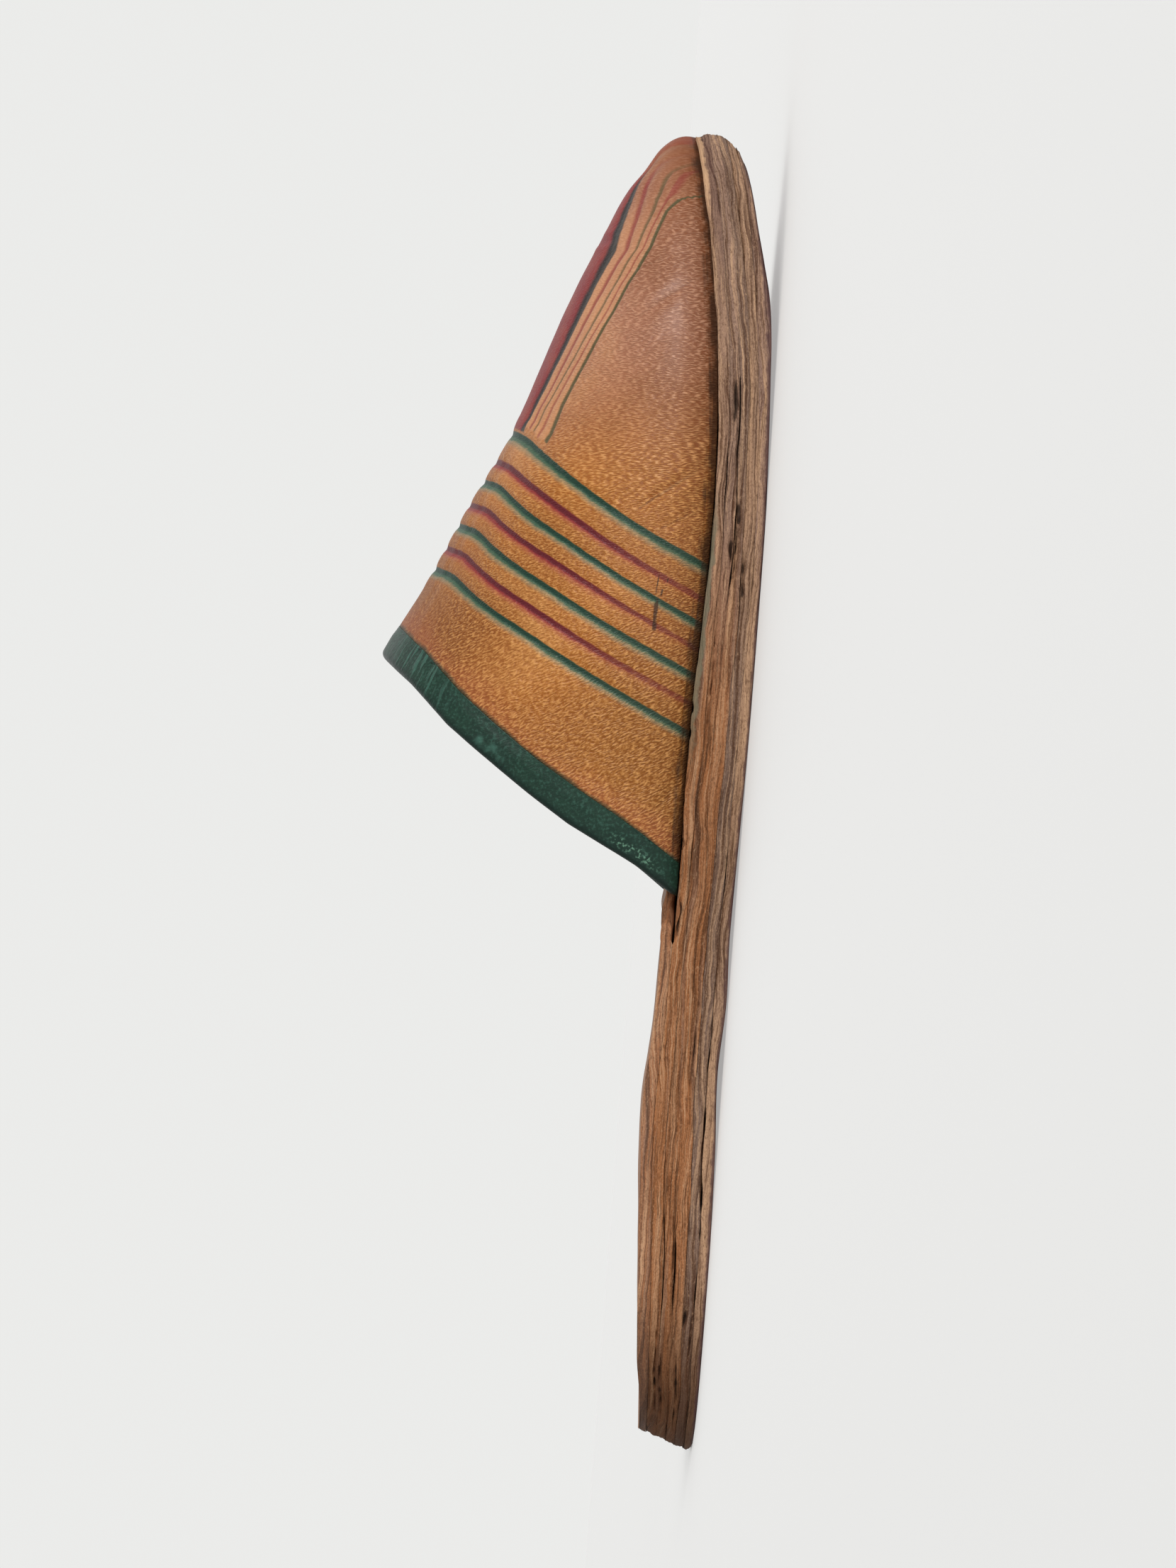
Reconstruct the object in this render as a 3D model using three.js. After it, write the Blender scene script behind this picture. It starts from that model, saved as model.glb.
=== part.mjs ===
import * as THREE from 'three';

// A flat leather mule slipper for the left foot, in millimetres.
// +X points to the toe, +Y to the outer side of the foot and +Z up, with the floor at z = 0.
// Stations are measured backwards from the toe tip, so a station s lies at x = LENGTH / 2 - s.

const LENGTH = 270;
const GLUE_GAP = 0.3;            // between two pieces that lie face to face

// Sole
const TOE_SPRING = 9.5;          // lift of the sole's underside at the toe tip
const SPRING_START = 88;         // station where the sole leaves the floor
const ARCH_RISE = 0.8;           // lift of the underside at the waist
const ARCH_FRONT = 120;
const ARCH_BACK = 232;
const INSOLE_THICKNESS = 1.8;
const INSOLE_TOE = 7.5;          // station of the insole's tip, inside the upper
const INSOLE_HEEL_BACK = 3.6;    // the insole stops this far short of the heel end
const INSOLE_EDGE_IN = 0.5;      // from the sole's outline, at the open heel
const INSOLE_CLEARANCE = 1.9;    // from the upper's inner wall, room for the folded binding
const INSOLE_STEP_START = 3;     // behind the collar's end, where the insole grows to full width
const INSOLE_STEP_LENGTH = 4;

// Upper
const WALL = 1.9;
const UPPER_TOE = 1.8;           // station where the upper's tip meets the sole
const EDGE_REVEAL = 1.6;         // sole edge that shows outside the upper's widest line
const FEATHER_TUCK = 2;          // the upper draws in this much down to its seat on the sole
const TUCK_HEIGHT = 9;
const NOSE_OVERHANG = 2.2;       // the toe bulges forwards over its seat
const NOSE_HEIGHT = 5;
const NOSE_LENGTH = 13;
const UPPER_MATCH = 110;         // station behind which upper and sole share one outline

// Collar: a slanted cut, farther back at the sole than on the ridge
const COLLAR_TOP = 110.9;        // station of the collar on the ridge
const COLLAR_RISE = 63.5;        // height of that point above the sole stack
const COLLAR_END_INNER = 154.2;
const COLLAR_END_OUTER = 156;
const COLLAR_BOW = 1.2;          // the cut bows backwards by this much half way up
const COLLAR_FLARE = 0.5;        // the cut sweeps back by this much where it meets the sole
const FLARE_HEIGHT = 14;

// Binding folded over the collar's edge
const BINDING_THICKNESS = 0.9;
const BINDING_PROUD = 0.3;       // the wall is pared down under the binding, which stands this proud
const STEP_SLOPE = 0.3;          // length of the step where the paring starts
const BINDING_REACH = 4.6;       // along the shoe, on the outside and on the inside

// Facets
const SOLE_STEPS = 44;
const UPPER_STEPS = 34;
const COLLAR_STEPS = 2;          // sections under the binding
const UPPER_AROUND = 36;
const NOSE_CROWDING = 1.7;       // packs the upper's sections towards the toe
const SEAT_CROWDING = 1.4;       // packs the points of a section towards its seat
const TIP_ANGLE = 0.025;         // leaves a small blunt end at toe and heel
const SEAT_LIFT = 0.2;           // least height beside the surface, as a share of the surface's own
const MARGIN_FADE = 4;           // a margin is whole once the half width is this many times as large
const NORMAL_STEP = 0.02;
const LEAST_AREA = 1e-7;
const COLLAR_SEARCH = [90, 180];
const COLLAR_SEARCH_STEPS = 40;

// Half width of the sole and sideways place of its middle line, the inner side being -Y.
const SOLE_OUTLINE = [
  { station: 0, halfWidth: 0, middle: -6 },
  { station: 6, halfWidth: 13.6, middle: -5.6 },
  { station: 15, halfWidth: 22.5, middle: -5 },
  { station: 30, halfWidth: 32.5, middle: -3.8 },
  { station: 50, halfWidth: 40.5, middle: -2.3 },
  { station: 75, halfWidth: 46, middle: -0.95 },
  { station: 92, halfWidth: 47.3, middle: 0.05 },
  { station: 115, halfWidth: 45.8, middle: 1 },
  { station: 140, halfWidth: 42, middle: 1.9 },
  { station: 165, halfWidth: 38.3, middle: 2.3 },
  { station: 190, halfWidth: 36, middle: 2 },
  { station: 215, halfWidth: 35, middle: 1.2 },
  { station: 237, halfWidth: 33.6, middle: 0.5 },
  { station: 254, halfWidth: 28.2, middle: 0 },
  { station: 264, halfWidth: 19, middle: 0 },
  { station: 270, halfWidth: 0, middle: 0 },
];

// Thickness of the whole stack of plies, without the insole.
const SOLE_STACK = [
  { station: 0, thickness: 8.4 },
  { station: 40, thickness: 9.2 },
  { station: 90, thickness: 10 },
  { station: 124, thickness: 11.2 },
  { station: 154, thickness: 10.8 },
  { station: 178, thickness: 11 },
  { station: 202, thickness: 12.1 },
  { station: 236, thickness: 10.6 },
  { station: 254, thickness: 9.7 },
  { station: 270, thickness: 8.8 },
];

// Plies from the floor up: share of the stack, how far each stops short of the sole's outline, and its look.
const SOLE_PLIES = [
  { name: 'outsole', share: 0.19, toeBack: 3.4, heelBack: 0, edgeIn: 0.3, colour: 0x5a4238 },
  { name: 'sole_ply_pale', share: 0.21, toeBack: 1.6, heelBack: 0.7, edgeIn: 0.6, colour: 0xb58e6c },
  { name: 'sole_ply_grey', share: 0.19, toeBack: 0.6, heelBack: 1.6, edgeIn: 0.2, colour: 0x74645a },
  { name: 'sole_ply_tan', share: 0.22, toeBack: 0, heelBack: 2.1, edgeIn: 0.5, colour: 0xa3785a },
  { name: 'sole_ply_top', share: 0.19, toeBack: 0.4, heelBack: 2.9, edgeIn: 0, colour: 0x8f7c62 },
];

// Upper, at stations behind its own tip: height of the ridge above the stack, its shift to the inner side,
// and how full ridge and sides are. A ridge of 2 is round, a lower one peaked. Sides above 2 are upright.
const UPPER_SECTIONS = [
  { station: 0, rise: 0, lean: 0, ridge: 2, sides: 2 },
  { station: 3, rise: 8.2, lean: 0, ridge: 2, sides: 2 },
  { station: 7.5, rise: 12, lean: 0, ridge: 2, sides: 2 },
  { station: 12, rise: 16, lean: 0.2, ridge: 2, sides: 2 },
  { station: 21, rise: 21.5, lean: 0.5, ridge: 1.95, sides: 2.05 },
  { station: 30, rise: 26.4, lean: 0.8, ridge: 1.9, sides: 2.1 },
  { station: 39, rise: 31, lean: 1.2, ridge: 1.82, sides: 2.15 },
  { station: 50, rise: 36.1, lean: 1.7, ridge: 1.74, sides: 2.2 },
  { station: 63, rise: 41.5, lean: 2.4, ridge: 1.66, sides: 2.3 },
  { station: 75, rise: 47.8, lean: 3.1, ridge: 1.6, sides: 2.4 },
  { station: 93, rise: 56, lean: 4.2, ridge: 1.56, sides: 2.5 },
  { station: 110, rise: 63.9, lean: 5, ridge: 1.55, sides: 2.5 },
  { station: 138, rise: 76.5, lean: 6, ridge: 1.55, sides: 2.6 },
  { station: 178, rise: 92, lean: 7, ridge: 1.55, sides: 2.6 },
];

const PLY_ROUGHNESS = 0.85;
const INSOLE_LOOK = { colour: 0xa8816a, roughness: 0.75 };
const UPPER_LOOK = { colour: 0xb8763f, roughness: 0.5 };
const BINDING_LOOK = { colour: 0x24483c, roughness: 0.45 };

const clamp = THREE.MathUtils.clamp;
const lerp = THREE.MathUtils.lerp;

// Even steps of this angle crowd towards both ends of the shoe, where outlines turn fastest.
function stationAngle(station) {
  return Math.acos(1 - 2 * clamp(station / LENGTH, 0, 1));
}

function angleStation(angle) {
  return LENGTH * (1 - Math.cos(angle)) / 2;
}

// Reads one column of a table at a station, on a smooth curve through the rows.
function readTable(rows, column, station) {
  const at = (index) => stationAngle(rows[index].station);
  const value = (index) => rows[index][column];
  const last = rows.length - 1;
  const slope = (index) => {
    const before = Math.max(index - 1, 0);
    const after = Math.min(index + 1, last);
    return (value(after) - value(before)) / (at(after) - at(before));
  };
  const place = clamp(stationAngle(station), at(0), at(last));
  let index = 0;
  while (index < last - 1 && place > at(index + 1)) {
    index += 1;
  }
  const span = at(index + 1) - at(index);
  const t = (place - at(index)) / span;
  const rest = 1 - t;
  const start = value(index) * (1 + 2 * t) * rest * rest + slope(index) * span * t * rest * rest;
  const end = value(index + 1) * (3 - 2 * t) * t * t - slope(index + 1) * span * t * t * rest;
  return start + end;
}

// Sole profile

function undersideHeight(station) {
  if (station < SPRING_START) {
    return TOE_SPRING * ((SPRING_START - station) / SPRING_START) ** 2;
  }
  if (station > ARCH_FRONT && station < ARCH_BACK) {
    const along = (station - ARCH_FRONT) / (ARCH_BACK - ARCH_FRONT);
    return ARCH_RISE * Math.sin(Math.PI * along) ** 2;
  }
  return 0;
}

function stackHeight(station) {
  return undersideHeight(station) + readTable(SOLE_STACK, 'thickness', station);
}

function soleHalfWidth(station) {
  return readTable(SOLE_OUTLINE, 'halfWidth', station);
}

function soleMiddle(station) {
  return readTable(SOLE_OUTLINE, 'middle', station);
}

// Slides a station so that an outline set back to toeStart still ends in the sole's own round toe.
function drawnBack(station, toeStart) {
  if (station >= UPPER_MATCH) {
    return station;
  }
  return (station - toeStart) * UPPER_MATCH / (UPPER_MATCH - toeStart);
}

// A margin that fades to nothing where an outline closes at its tip.
function fadedMargin(margin, halfWidth) {
  return margin * clamp(halfWidth / (MARGIN_FADE * margin), 0, 1);
}

function point(station, y, z) {
  return new THREE.Vector3(LENGTH / 2 - station, y, z);
}

// Closes the space between two equal grids of points into one solid.
function solidBetween(outer, inner) {
  const rows = outer.length;
  const columns = outer[0].length;
  const points = [...outer.flat(), ...inner.flat()];
  const triangles = [];
  const outerAt = (i, j) => i * columns + j;
  const innerAt = (i, j) => rows * columns + i * columns + j;
  const addTriangle = (a, b, c) => {
    const area = new THREE.Triangle(points[a], points[b], points[c]).getArea();
    if (area > LEAST_AREA) {
      triangles.push(a, b, c);
    }
  };
  const addQuad = (a, b, c, d) => {
    addTriangle(a, b, c);
    addTriangle(a, c, d);
  };
  for (let i = 0; i < rows - 1; i += 1) {
    for (let j = 0; j < columns - 1; j += 1) {
      addQuad(outerAt(i, j), outerAt(i, j + 1), outerAt(i + 1, j + 1), outerAt(i + 1, j));
      addQuad(innerAt(i, j), innerAt(i + 1, j), innerAt(i + 1, j + 1), innerAt(i, j + 1));
    }
    const far = columns - 1;
    addQuad(outerAt(i, 0), outerAt(i + 1, 0), innerAt(i + 1, 0), innerAt(i, 0));
    addQuad(outerAt(i, far), innerAt(i, far), innerAt(i + 1, far), outerAt(i + 1, far));
  }
  for (let j = 0; j < columns - 1; j += 1) {
    const end = rows - 1;
    addQuad(outerAt(0, j), innerAt(0, j), innerAt(0, j + 1), outerAt(0, j + 1));
    addQuad(outerAt(end, j), outerAt(end, j + 1), innerAt(end, j + 1), innerAt(end, j));
  }
  return meshGeometry(points, triangles);
}

function meshGeometry(points, triangles) {
  let volume = 0;
  for (let k = 0; k < triangles.length; k += 3) {
    const [a, b, c] = [points[triangles[k]], points[triangles[k + 1]], points[triangles[k + 2]]];
    volume += a.dot(b.clone().cross(c));
  }
  const index = volume > 0 ? triangles : triangles.slice().reverse();
  const geometry = new THREE.BufferGeometry();
  geometry.setFromPoints(points);
  geometry.setIndex(index);
  geometry.computeVertexNormals();
  return geometry;
}

// Stations from a piece's own toe end to its heel end.
function soleStations(toeBack, heelBack) {
  const stations = [];
  for (let i = 0; i <= SOLE_STEPS; i += 1) {
    const angle = lerp(TIP_ANGLE, Math.PI - TIP_ANGLE, i / SOLE_STEPS);
    const share = angleStation(angle) / LENGTH;
    stations.push(lerp(toeBack, LENGTH - heelBack, share));
  }
  return stations;
}

function slab(stations, edges, bottom, top) {
  const upperFace = [];
  const lowerFace = [];
  for (const station of stations) {
    const { inner, outer } = edges(station);
    upperFace.push([point(station, inner, top(station)), point(station, outer, top(station))]);
    lowerFace.push([point(station, inner, bottom(station)), point(station, outer, bottom(station))]);
  }
  return solidBetween(upperFace, lowerFace);
}

function plyGeometry(level) {
  const ply = SOLE_PLIES[level];
  const below = SOLE_PLIES.slice(0, level).reduce((sum, row) => sum + row.share, 0);
  const leather = (station) => {
    return readTable(SOLE_STACK, 'thickness', station) - GLUE_GAP * (SOLE_PLIES.length - 1);
  };
  const bottom = (station) => undersideHeight(station) + leather(station) * below + GLUE_GAP * level;
  const top = (station) => bottom(station) + leather(station) * ply.share;
  const edges = (station) => {
    const share = (station - ply.toeBack) / (LENGTH - ply.toeBack - ply.heelBack);
    const full = soleHalfWidth(share * LENGTH);
    const half = full - fadedMargin(ply.edgeIn, full);
    const middle = soleMiddle(station);
    return { inner: middle - half, outer: middle + half };
  };
  return slab(soleStations(ply.toeBack, ply.heelBack), edges, bottom, top);
}

// The insole is narrow inside the upper and steps out to the sole's edge behind the collar.
function insoleGeometry() {
  const bottom = (station) => stackHeight(station) + GLUE_GAP;
  const top = (station) => bottom(station) + INSOLE_THICKNESS;
  const halfWidth = (station, collarEnd) => {
    const seat = soleHalfWidth(drawnBack(station, INSOLE_TOE));
    const margin = EDGE_REVEAL + FEATHER_TUCK + WALL + INSOLE_CLEARANCE;
    const inside = seat - fadedMargin(margin, seat);
    const share = (station - INSOLE_TOE) / (LENGTH - INSOLE_TOE - INSOLE_HEEL_BACK);
    const full = soleHalfWidth(share * LENGTH);
    const open = full - fadedMargin(INSOLE_EDGE_IN, full);
    const start = collarEnd + INSOLE_STEP_START;
    return lerp(inside, open, THREE.MathUtils.smoothstep(station, start, start + INSOLE_STEP_LENGTH));
  };
  const innerEnd = COLLAR_END_INNER + COLLAR_FLARE;
  const outerEnd = COLLAR_END_OUTER + COLLAR_FLARE;
  const edges = (station) => {
    const middle = soleMiddle(station);
    return { inner: middle - halfWidth(station, innerEnd), outer: middle + halfWidth(station, outerEnd) };
  };
  const stations = soleStations(INSOLE_TOE, INSOLE_HEEL_BACK);
  for (const end of [innerEnd, outerEnd]) {
    for (const share of [0, 0.5, 1]) {
      stations.push(end + INSOLE_STEP_START + share * INSOLE_STEP_LENGTH);
    }
  }
  stations.sort((a, b) => a - b);
  return slab(stations, edges, bottom, top);
}

// Outer surface of the upper. Around is -1 at the inner seat, 0 on the ridge and 1 at the outer seat.
function liftAngle(around) {
  return (1 - Math.abs(around)) ** SEAT_CROWDING * Math.PI / 2;
}

function upperColumn(column, station) {
  return readTable(UPPER_SECTIONS, column, station - UPPER_TOE);
}

function upperHeight(station, around) {
  return upperColumn('rise', station) * Math.sin(liftAngle(around)) ** (2 / upperColumn('sides', station));
}

function upperPoint(station, around) {
  const lift = liftAngle(around);
  const height = upperHeight(station, around);
  const rise = upperColumn('rise', station);
  const ridge = upperColumn('ridge', station);
  const full = soleHalfWidth(drawnBack(station, UPPER_TOE));
  const widest = full - fadedMargin(EDGE_REVEAL, full);
  const tuck = fadedMargin(FEATHER_TUCK, full) * Math.max(0, 1 - height / TUCK_HEIGHT) ** 2;
  const half = widest * Math.max(Math.cos(lift), 0) ** (2 / ridge) - tuck * Math.cos(lift);
  const lean = upperColumn('lean', station) * (rise > 0 ? height / rise : 0);
  const y = soleMiddle(station) + Math.sign(around) * half - lean;
  const nose = Math.max(0, 1 - (station - UPPER_TOE) / NOSE_LENGTH) ** 2;
  const bulge = NOSE_OVERHANG * nose * Math.sin(Math.PI * clamp(height / (2 * NOSE_HEIGHT), 0, 1));
  return point(station - bulge, y, stackHeight(station) + GLUE_GAP + height);
}

// Outward direction of the upper's surface, level along the seat so that the seat stays flat.
function upperNormal(station, around) {
  const toHeel = upperPoint(station + NORMAL_STEP, around).sub(upperPoint(station - NORMAL_STEP, around));
  const outerward = upperPoint(station, Math.min(around + NORMAL_STEP, 1));
  outerward.sub(upperPoint(station, Math.max(around - NORMAL_STEP, -1)));
  const normal = outerward.cross(toHeel).normalize();
  if (Math.abs(around) === 1) {
    normal.setZ(0).normalize();
  }
  return normal;
}

// A point beside the surface, held above the sole where the surface curls in to its seat.
function offsetFromUpper(station, around, distance) {
  const beside = upperPoint(station, around).addScaledVector(upperNormal(station, around), distance);
  const seat = stackHeight(LENGTH / 2 - beside.x) + GLUE_GAP;
  beside.z = Math.max(beside.z, seat + SEAT_LIFT * upperHeight(station, around));
  return beside;
}

// Station where the slanted cut of the collar crosses one line of the surface.
function collarStation(around) {
  const end = around > 0 ? COLLAR_END_OUTER : COLLAR_END_INNER;
  let [low, high] = COLLAR_SEARCH;
  for (let step = 0; step < COLLAR_SEARCH_STEPS; step += 1) {
    const middle = (low + high) / 2;
    const height = upperHeight(middle, around);
    const sweep = COLLAR_FLARE * Math.max(0, 1 - height / FLARE_HEIGHT) ** 2;
    const bow = COLLAR_BOW * Math.sin(Math.PI * clamp(height / COLLAR_RISE, 0, 1));
    const cut = lerp(end, COLLAR_TOP, height / COLLAR_RISE) + sweep + bow;
    if (middle < cut) {
      low = middle;
    } else {
      high = middle;
    }
  }
  return (low + high) / 2;
}

function aroundSteps() {
  const steps = [];
  for (let j = 0; j <= UPPER_AROUND; j += 1) {
    steps.push(2 * j / UPPER_AROUND - 1);
  }
  return steps;
}

// The wall is whole from the toe to the binding and pared down under it, which leaves a small step.
function upperGeometry() {
  const pared = BINDING_PROUD - GLUE_GAP - BINDING_THICKNESS;
  const bindingStart = -BINDING_REACH - GLUE_GAP - STEP_SLOPE;
  const tip = upperPoint(UPPER_TOE, 0);
  const innerTip = tip.clone().add(new THREE.Vector3(-WALL, 0, 0));
  const outer = [aroundSteps().map(() => tip)];
  const inner = [aroundSteps().map(() => innerTip)];
  const addSection = (stationOf, outside) => {
    outer.push(aroundSteps().map((around) => offsetFromUpper(stationOf(around), around, outside)));
    inner.push(aroundSteps().map((around) => offsetFromUpper(stationOf(around), around, -WALL)));
  };
  for (let i = 1; i <= UPPER_STEPS; i += 1) {
    const share = (i / UPPER_STEPS) ** NOSE_CROWDING;
    addSection((around) => lerp(UPPER_TOE, collarStation(around) + bindingStart, share), 0);
  }
  for (let i = 0; i <= COLLAR_STEPS; i += 1) {
    const along = lerp(bindingStart + STEP_SLOPE, 0, i / COLLAR_STEPS);
    addSection((around) => collarStation(around) + along, pared);
  }
  return solidBetween(outer, inner);
}

// The binding's section is a flat U around the collar's edge: outside leg, fold and inside leg.
function bindingGeometry() {
  const outsideSeat = BINDING_PROUD - BINDING_THICKNESS;
  const insideSeat = -WALL - GLUE_GAP;
  const loop = (thickness) => [
    { along: -BINDING_REACH, offset: outsideSeat + thickness },
    { along: GLUE_GAP + thickness, offset: outsideSeat + thickness },
    { along: GLUE_GAP + thickness, offset: insideSeat - thickness },
    { along: -BINDING_REACH, offset: insideSeat - thickness },
  ];
  const sweep = (section) => aroundSteps().map((around) => {
    const edge = collarStation(around);
    return section.map(({ along, offset }) => offsetFromUpper(edge + along, around, offset));
  });
  return solidBetween(sweep(loop(BINDING_THICKNESS)), sweep(loop(0)));
}

function leatherPiece(name, geometry, { colour, roughness }) {
  const material = new THREE.MeshStandardMaterial({ color: colour, roughness, metalness: 0 });
  const mesh = new THREE.Mesh(geometry, material);
  mesh.name = name;
  return mesh;
}

const shoe = new THREE.Group();
SOLE_PLIES.forEach(({ name, colour }, level) => {
  shoe.add(leatherPiece(name, plyGeometry(level), { colour, roughness: PLY_ROUGHNESS }));
});
shoe.add(leatherPiece('insole', insoleGeometry(), INSOLE_LOOK));
shoe.add(leatherPiece('upper', upperGeometry(), UPPER_LOOK));
shoe.add(leatherPiece('collar_binding', bindingGeometry(), BINDING_LOOK));

export default shoe;
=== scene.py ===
"""Looks of a leather mule slipper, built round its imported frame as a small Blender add-on.

The shoe stands on the floor with its toe to +X, its outer side to +Y and +Z up.
Shapes are worked out in millimetres, at stations measured backwards from the toe tip, and made in metres.
"""

import math
from collections import namedtuple
from contextlib import contextmanager

import bpy
import numpy as np
from mathutils import Matrix, Vector, noise


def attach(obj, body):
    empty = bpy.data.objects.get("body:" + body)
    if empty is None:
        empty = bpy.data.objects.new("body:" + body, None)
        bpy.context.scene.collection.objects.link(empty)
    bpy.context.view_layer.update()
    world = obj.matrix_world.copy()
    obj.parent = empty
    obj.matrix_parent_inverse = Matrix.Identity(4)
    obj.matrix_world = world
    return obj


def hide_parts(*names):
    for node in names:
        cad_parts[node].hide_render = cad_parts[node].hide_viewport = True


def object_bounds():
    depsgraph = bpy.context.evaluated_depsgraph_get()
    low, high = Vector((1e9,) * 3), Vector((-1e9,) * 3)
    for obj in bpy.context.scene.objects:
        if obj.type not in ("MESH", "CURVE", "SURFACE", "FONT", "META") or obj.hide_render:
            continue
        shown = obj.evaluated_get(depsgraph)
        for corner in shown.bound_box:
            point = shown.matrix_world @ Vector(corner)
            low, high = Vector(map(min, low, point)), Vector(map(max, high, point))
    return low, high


bl_info = {
    "name": "Leather Mule Slipper",
    "version": (1, 0, 0),
    "blender": (4, 5, 0),
    "location": "3D View > Sidebar > Mule",
    "description": "Lasts, binds and soles a worn leather mule slipper round its frame",
    "category": "Add Mesh",
}

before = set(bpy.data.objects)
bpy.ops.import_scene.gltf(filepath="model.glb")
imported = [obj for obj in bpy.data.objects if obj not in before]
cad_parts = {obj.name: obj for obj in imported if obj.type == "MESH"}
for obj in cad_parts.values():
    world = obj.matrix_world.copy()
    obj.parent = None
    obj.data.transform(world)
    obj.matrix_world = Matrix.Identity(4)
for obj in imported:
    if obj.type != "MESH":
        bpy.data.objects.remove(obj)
CAD_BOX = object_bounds()
MM = 0.001
TINY = 0.001              # millimetres, for divisors that may come to nothing

# Sole, as in the frame
LENGTH = round((CAD_BOX[1].x - CAD_BOX[0].x) / MM)
GLUE_GAP = 0.3
TOE_SPRING = 9.5
SPRING_START = 88
ARCH_RISE = 0.8
ARCH_FRONT = 120
ARCH_BACK = 232
INSOLE_THICKNESS = 1.8
INSOLE_TOE = 7.5
INSOLE_HEEL_BACK = 3.6
INSOLE_EDGE_IN = 0.5
INSOLE_CLEARANCE = 1.9
INSOLE_STEP_START = 3
INSOLE_STEP_LENGTH = 4

# Upper and binding, as in the frame, but for the nose, which has worn lower
WALL = 1.9
UPPER_TOE = 1.8
EDGE_REVEAL = 1.6
FEATHER_TUCK = 2
TUCK_HEIGHT = 9
NOSE_OVERHANG = 0.8
NOSE_HEIGHT = 5
NOSE_LENGTH = 13
UPPER_MATCH = 110
MARGIN_FADE = 4
SEAT_CROWDING = 1.4
SEAT_LIFT = 0.2
BINDING_THICKNESS = 0.9
BINDING_PROUD = 0.3
BINDING_REACH = 4.6
STEP_SLOPE = 0.3
BINDING_LAP = 0.15


def table(columns, *rows):
    """Rows under named columns."""
    row_kind = namedtuple("Row", columns)
    return [row_kind(*row) for row in rows]


SOLE_OUTLINE = table(
    "station half_width middle",
    (0, 0, -6),
    (6, 13.6, -5.6),
    (15, 22.5, -5),
    (30, 32.5, -3.8),
    (50, 40.5, -2.3),
    (75, 46, -0.95),
    (92, 47.3, 0.05),
    (115, 45.8, 1),
    (140, 42, 1.9),
    (165, 38.3, 2.3),
    (190, 36, 2),
    (215, 35, 1.2),
    (237, 33.6, 0.5),
    (254, 28.2, 0),
    (264, 19, 0),
    (270, 0, 0),
)
SOLE_STACK = table(
    "station thickness",
    (0, 8.4),
    (40, 9.2),
    (90, 10),
    (124, 11.2),
    (154, 10.8),
    (178, 11),
    (202, 12.1),
    (236, 10.6),
    (254, 9.7),
    (270, 8.8),
)
UPPER_SECTIONS = table(
    "station rise lean ridge sides",
    (0, 0, 0, 2, 2),
    (3, 8.2, 0, 2, 2),
    (7.5, 12, 0, 2, 2),
    (12, 16, 0.2, 2, 2),
    (21, 21.5, 0.5, 1.95, 2.05),
    (30, 26.4, 0.8, 1.9, 2.1),
    (39, 31, 1.2, 1.82, 2.15),
    (50, 36.1, 1.7, 1.74, 2.2),
    (63, 41.5, 2.4, 1.66, 2.3),
    (75, 47.8, 3.1, 1.6, 2.4),
    (93, 56, 4.2, 1.56, 2.5),
    (110, 63.9, 5, 1.55, 2.5),
    (138, 76.5, 6, 1.55, 2.6),
    (178, 92, 7, 1.55, 2.6),
)

# Plies from the floor up: share of the stack, how far each stops short of the sole's outline, and the
# colours of its edge towards the toe and towards the heel.
SOLE_PLIES = table(
    "name share toe_back heel_back edge_in slot front back",
    ("outsole", 0.19, 3.4, 0, 0.3, "outsole_leather", "outsole", "pale"),
    ("sole_ply_pale", 0.21, 1.6, 0.7, 0.6, "pale_ply_leather", "pale", "grey"),
    ("sole_ply_grey", 0.19, 0.6, 1.6, 0.2, "grey_ply_leather", "grey", "ember"),
    ("sole_ply_tan", 0.22, 0, 2.1, 0.5, "tan_ply_leather", "tan", "ember"),
    ("sole_ply_top", 0.19, 0.4, 2.9, 0, "top_ply_leather", "top", "ember"),
)

# Lines drawn across the upper: station on the ridge, and where each meets the sole on either side.
Cut = namedtuple("Cut", "ridge inner_end outer_end bow flare", defaults=(0,))
COLLAR = Cut(110.9, 154.2, 156, 1.2, 0.5)
BAND_LINES = (
    Cut(64.7, 91.8, 93.5, 3.0),
    Cut(70.8, 98.4, 100.2, 2.4),
    Cut(74.9, 103.0, 105.0, 2.3),
    Cut(79.9, 107.8, 110.0, 1.8),
    Cut(84.2, 113.0, 115.4, 2.0),
    Cut(89.0, 118.5, 121.1, 1.9),
    Cut(93.3, 124.2, 127.0, 1.7),
)
FLARE_HEIGHT = 14
BAND_PITCH = 4.6          # between two lines of the band, across them
BAND_MARGIN = 5           # plain leather before and behind the band that shares its close rows

# Lines drawn along the upper: distance from the ridge on the inner side, following the pattern's centre.
STRIPES = table(
    "station centre black red dark rust green",
    (3.5, 0.3, 14, 18, 21, 24, 27),
    (5, 0.6, 6.5, 17, 20, 23, 26),
    (6.8, 1, 4.4, 14, 19.5, 23, 26),
    (8.6, 1.5, 4.8, 9.6, 19, 23, 26),
    (10, 1.9, 5.4, 10, 17, 22.5, 26),
    (11.5, 2.3, 6.3, 11.2, 16.4, 19.4, 29),
    (16.3, 3.6, 9.7, 15, 19.8, 22.3, 32),
    (17.6, 3.9, 10.4, 16, 20.4, 22.8, 25.8),
    (20.3, 4.6, 11.6, 18, 22.2, 23.9, 25.3),
    (28.5, 6.4, 17, 22.7, 25.5, 27.2, 29),
    (42, 6.9, 16.8, 21.4, 25, 27.3, 29.4),
    (51, 6.9, 16, 20.8, 24.1, 26.3, 28.9),
    (61, 6.8, 14.2, 18.6, 20.9, 23.6, 27.4),
    (70, 6.8, 14, 18.6, 21, 23.8, 28.5),
)
OUTER_SPREAD = 1.5        # the lines lie wider apart on the outer side
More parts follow.
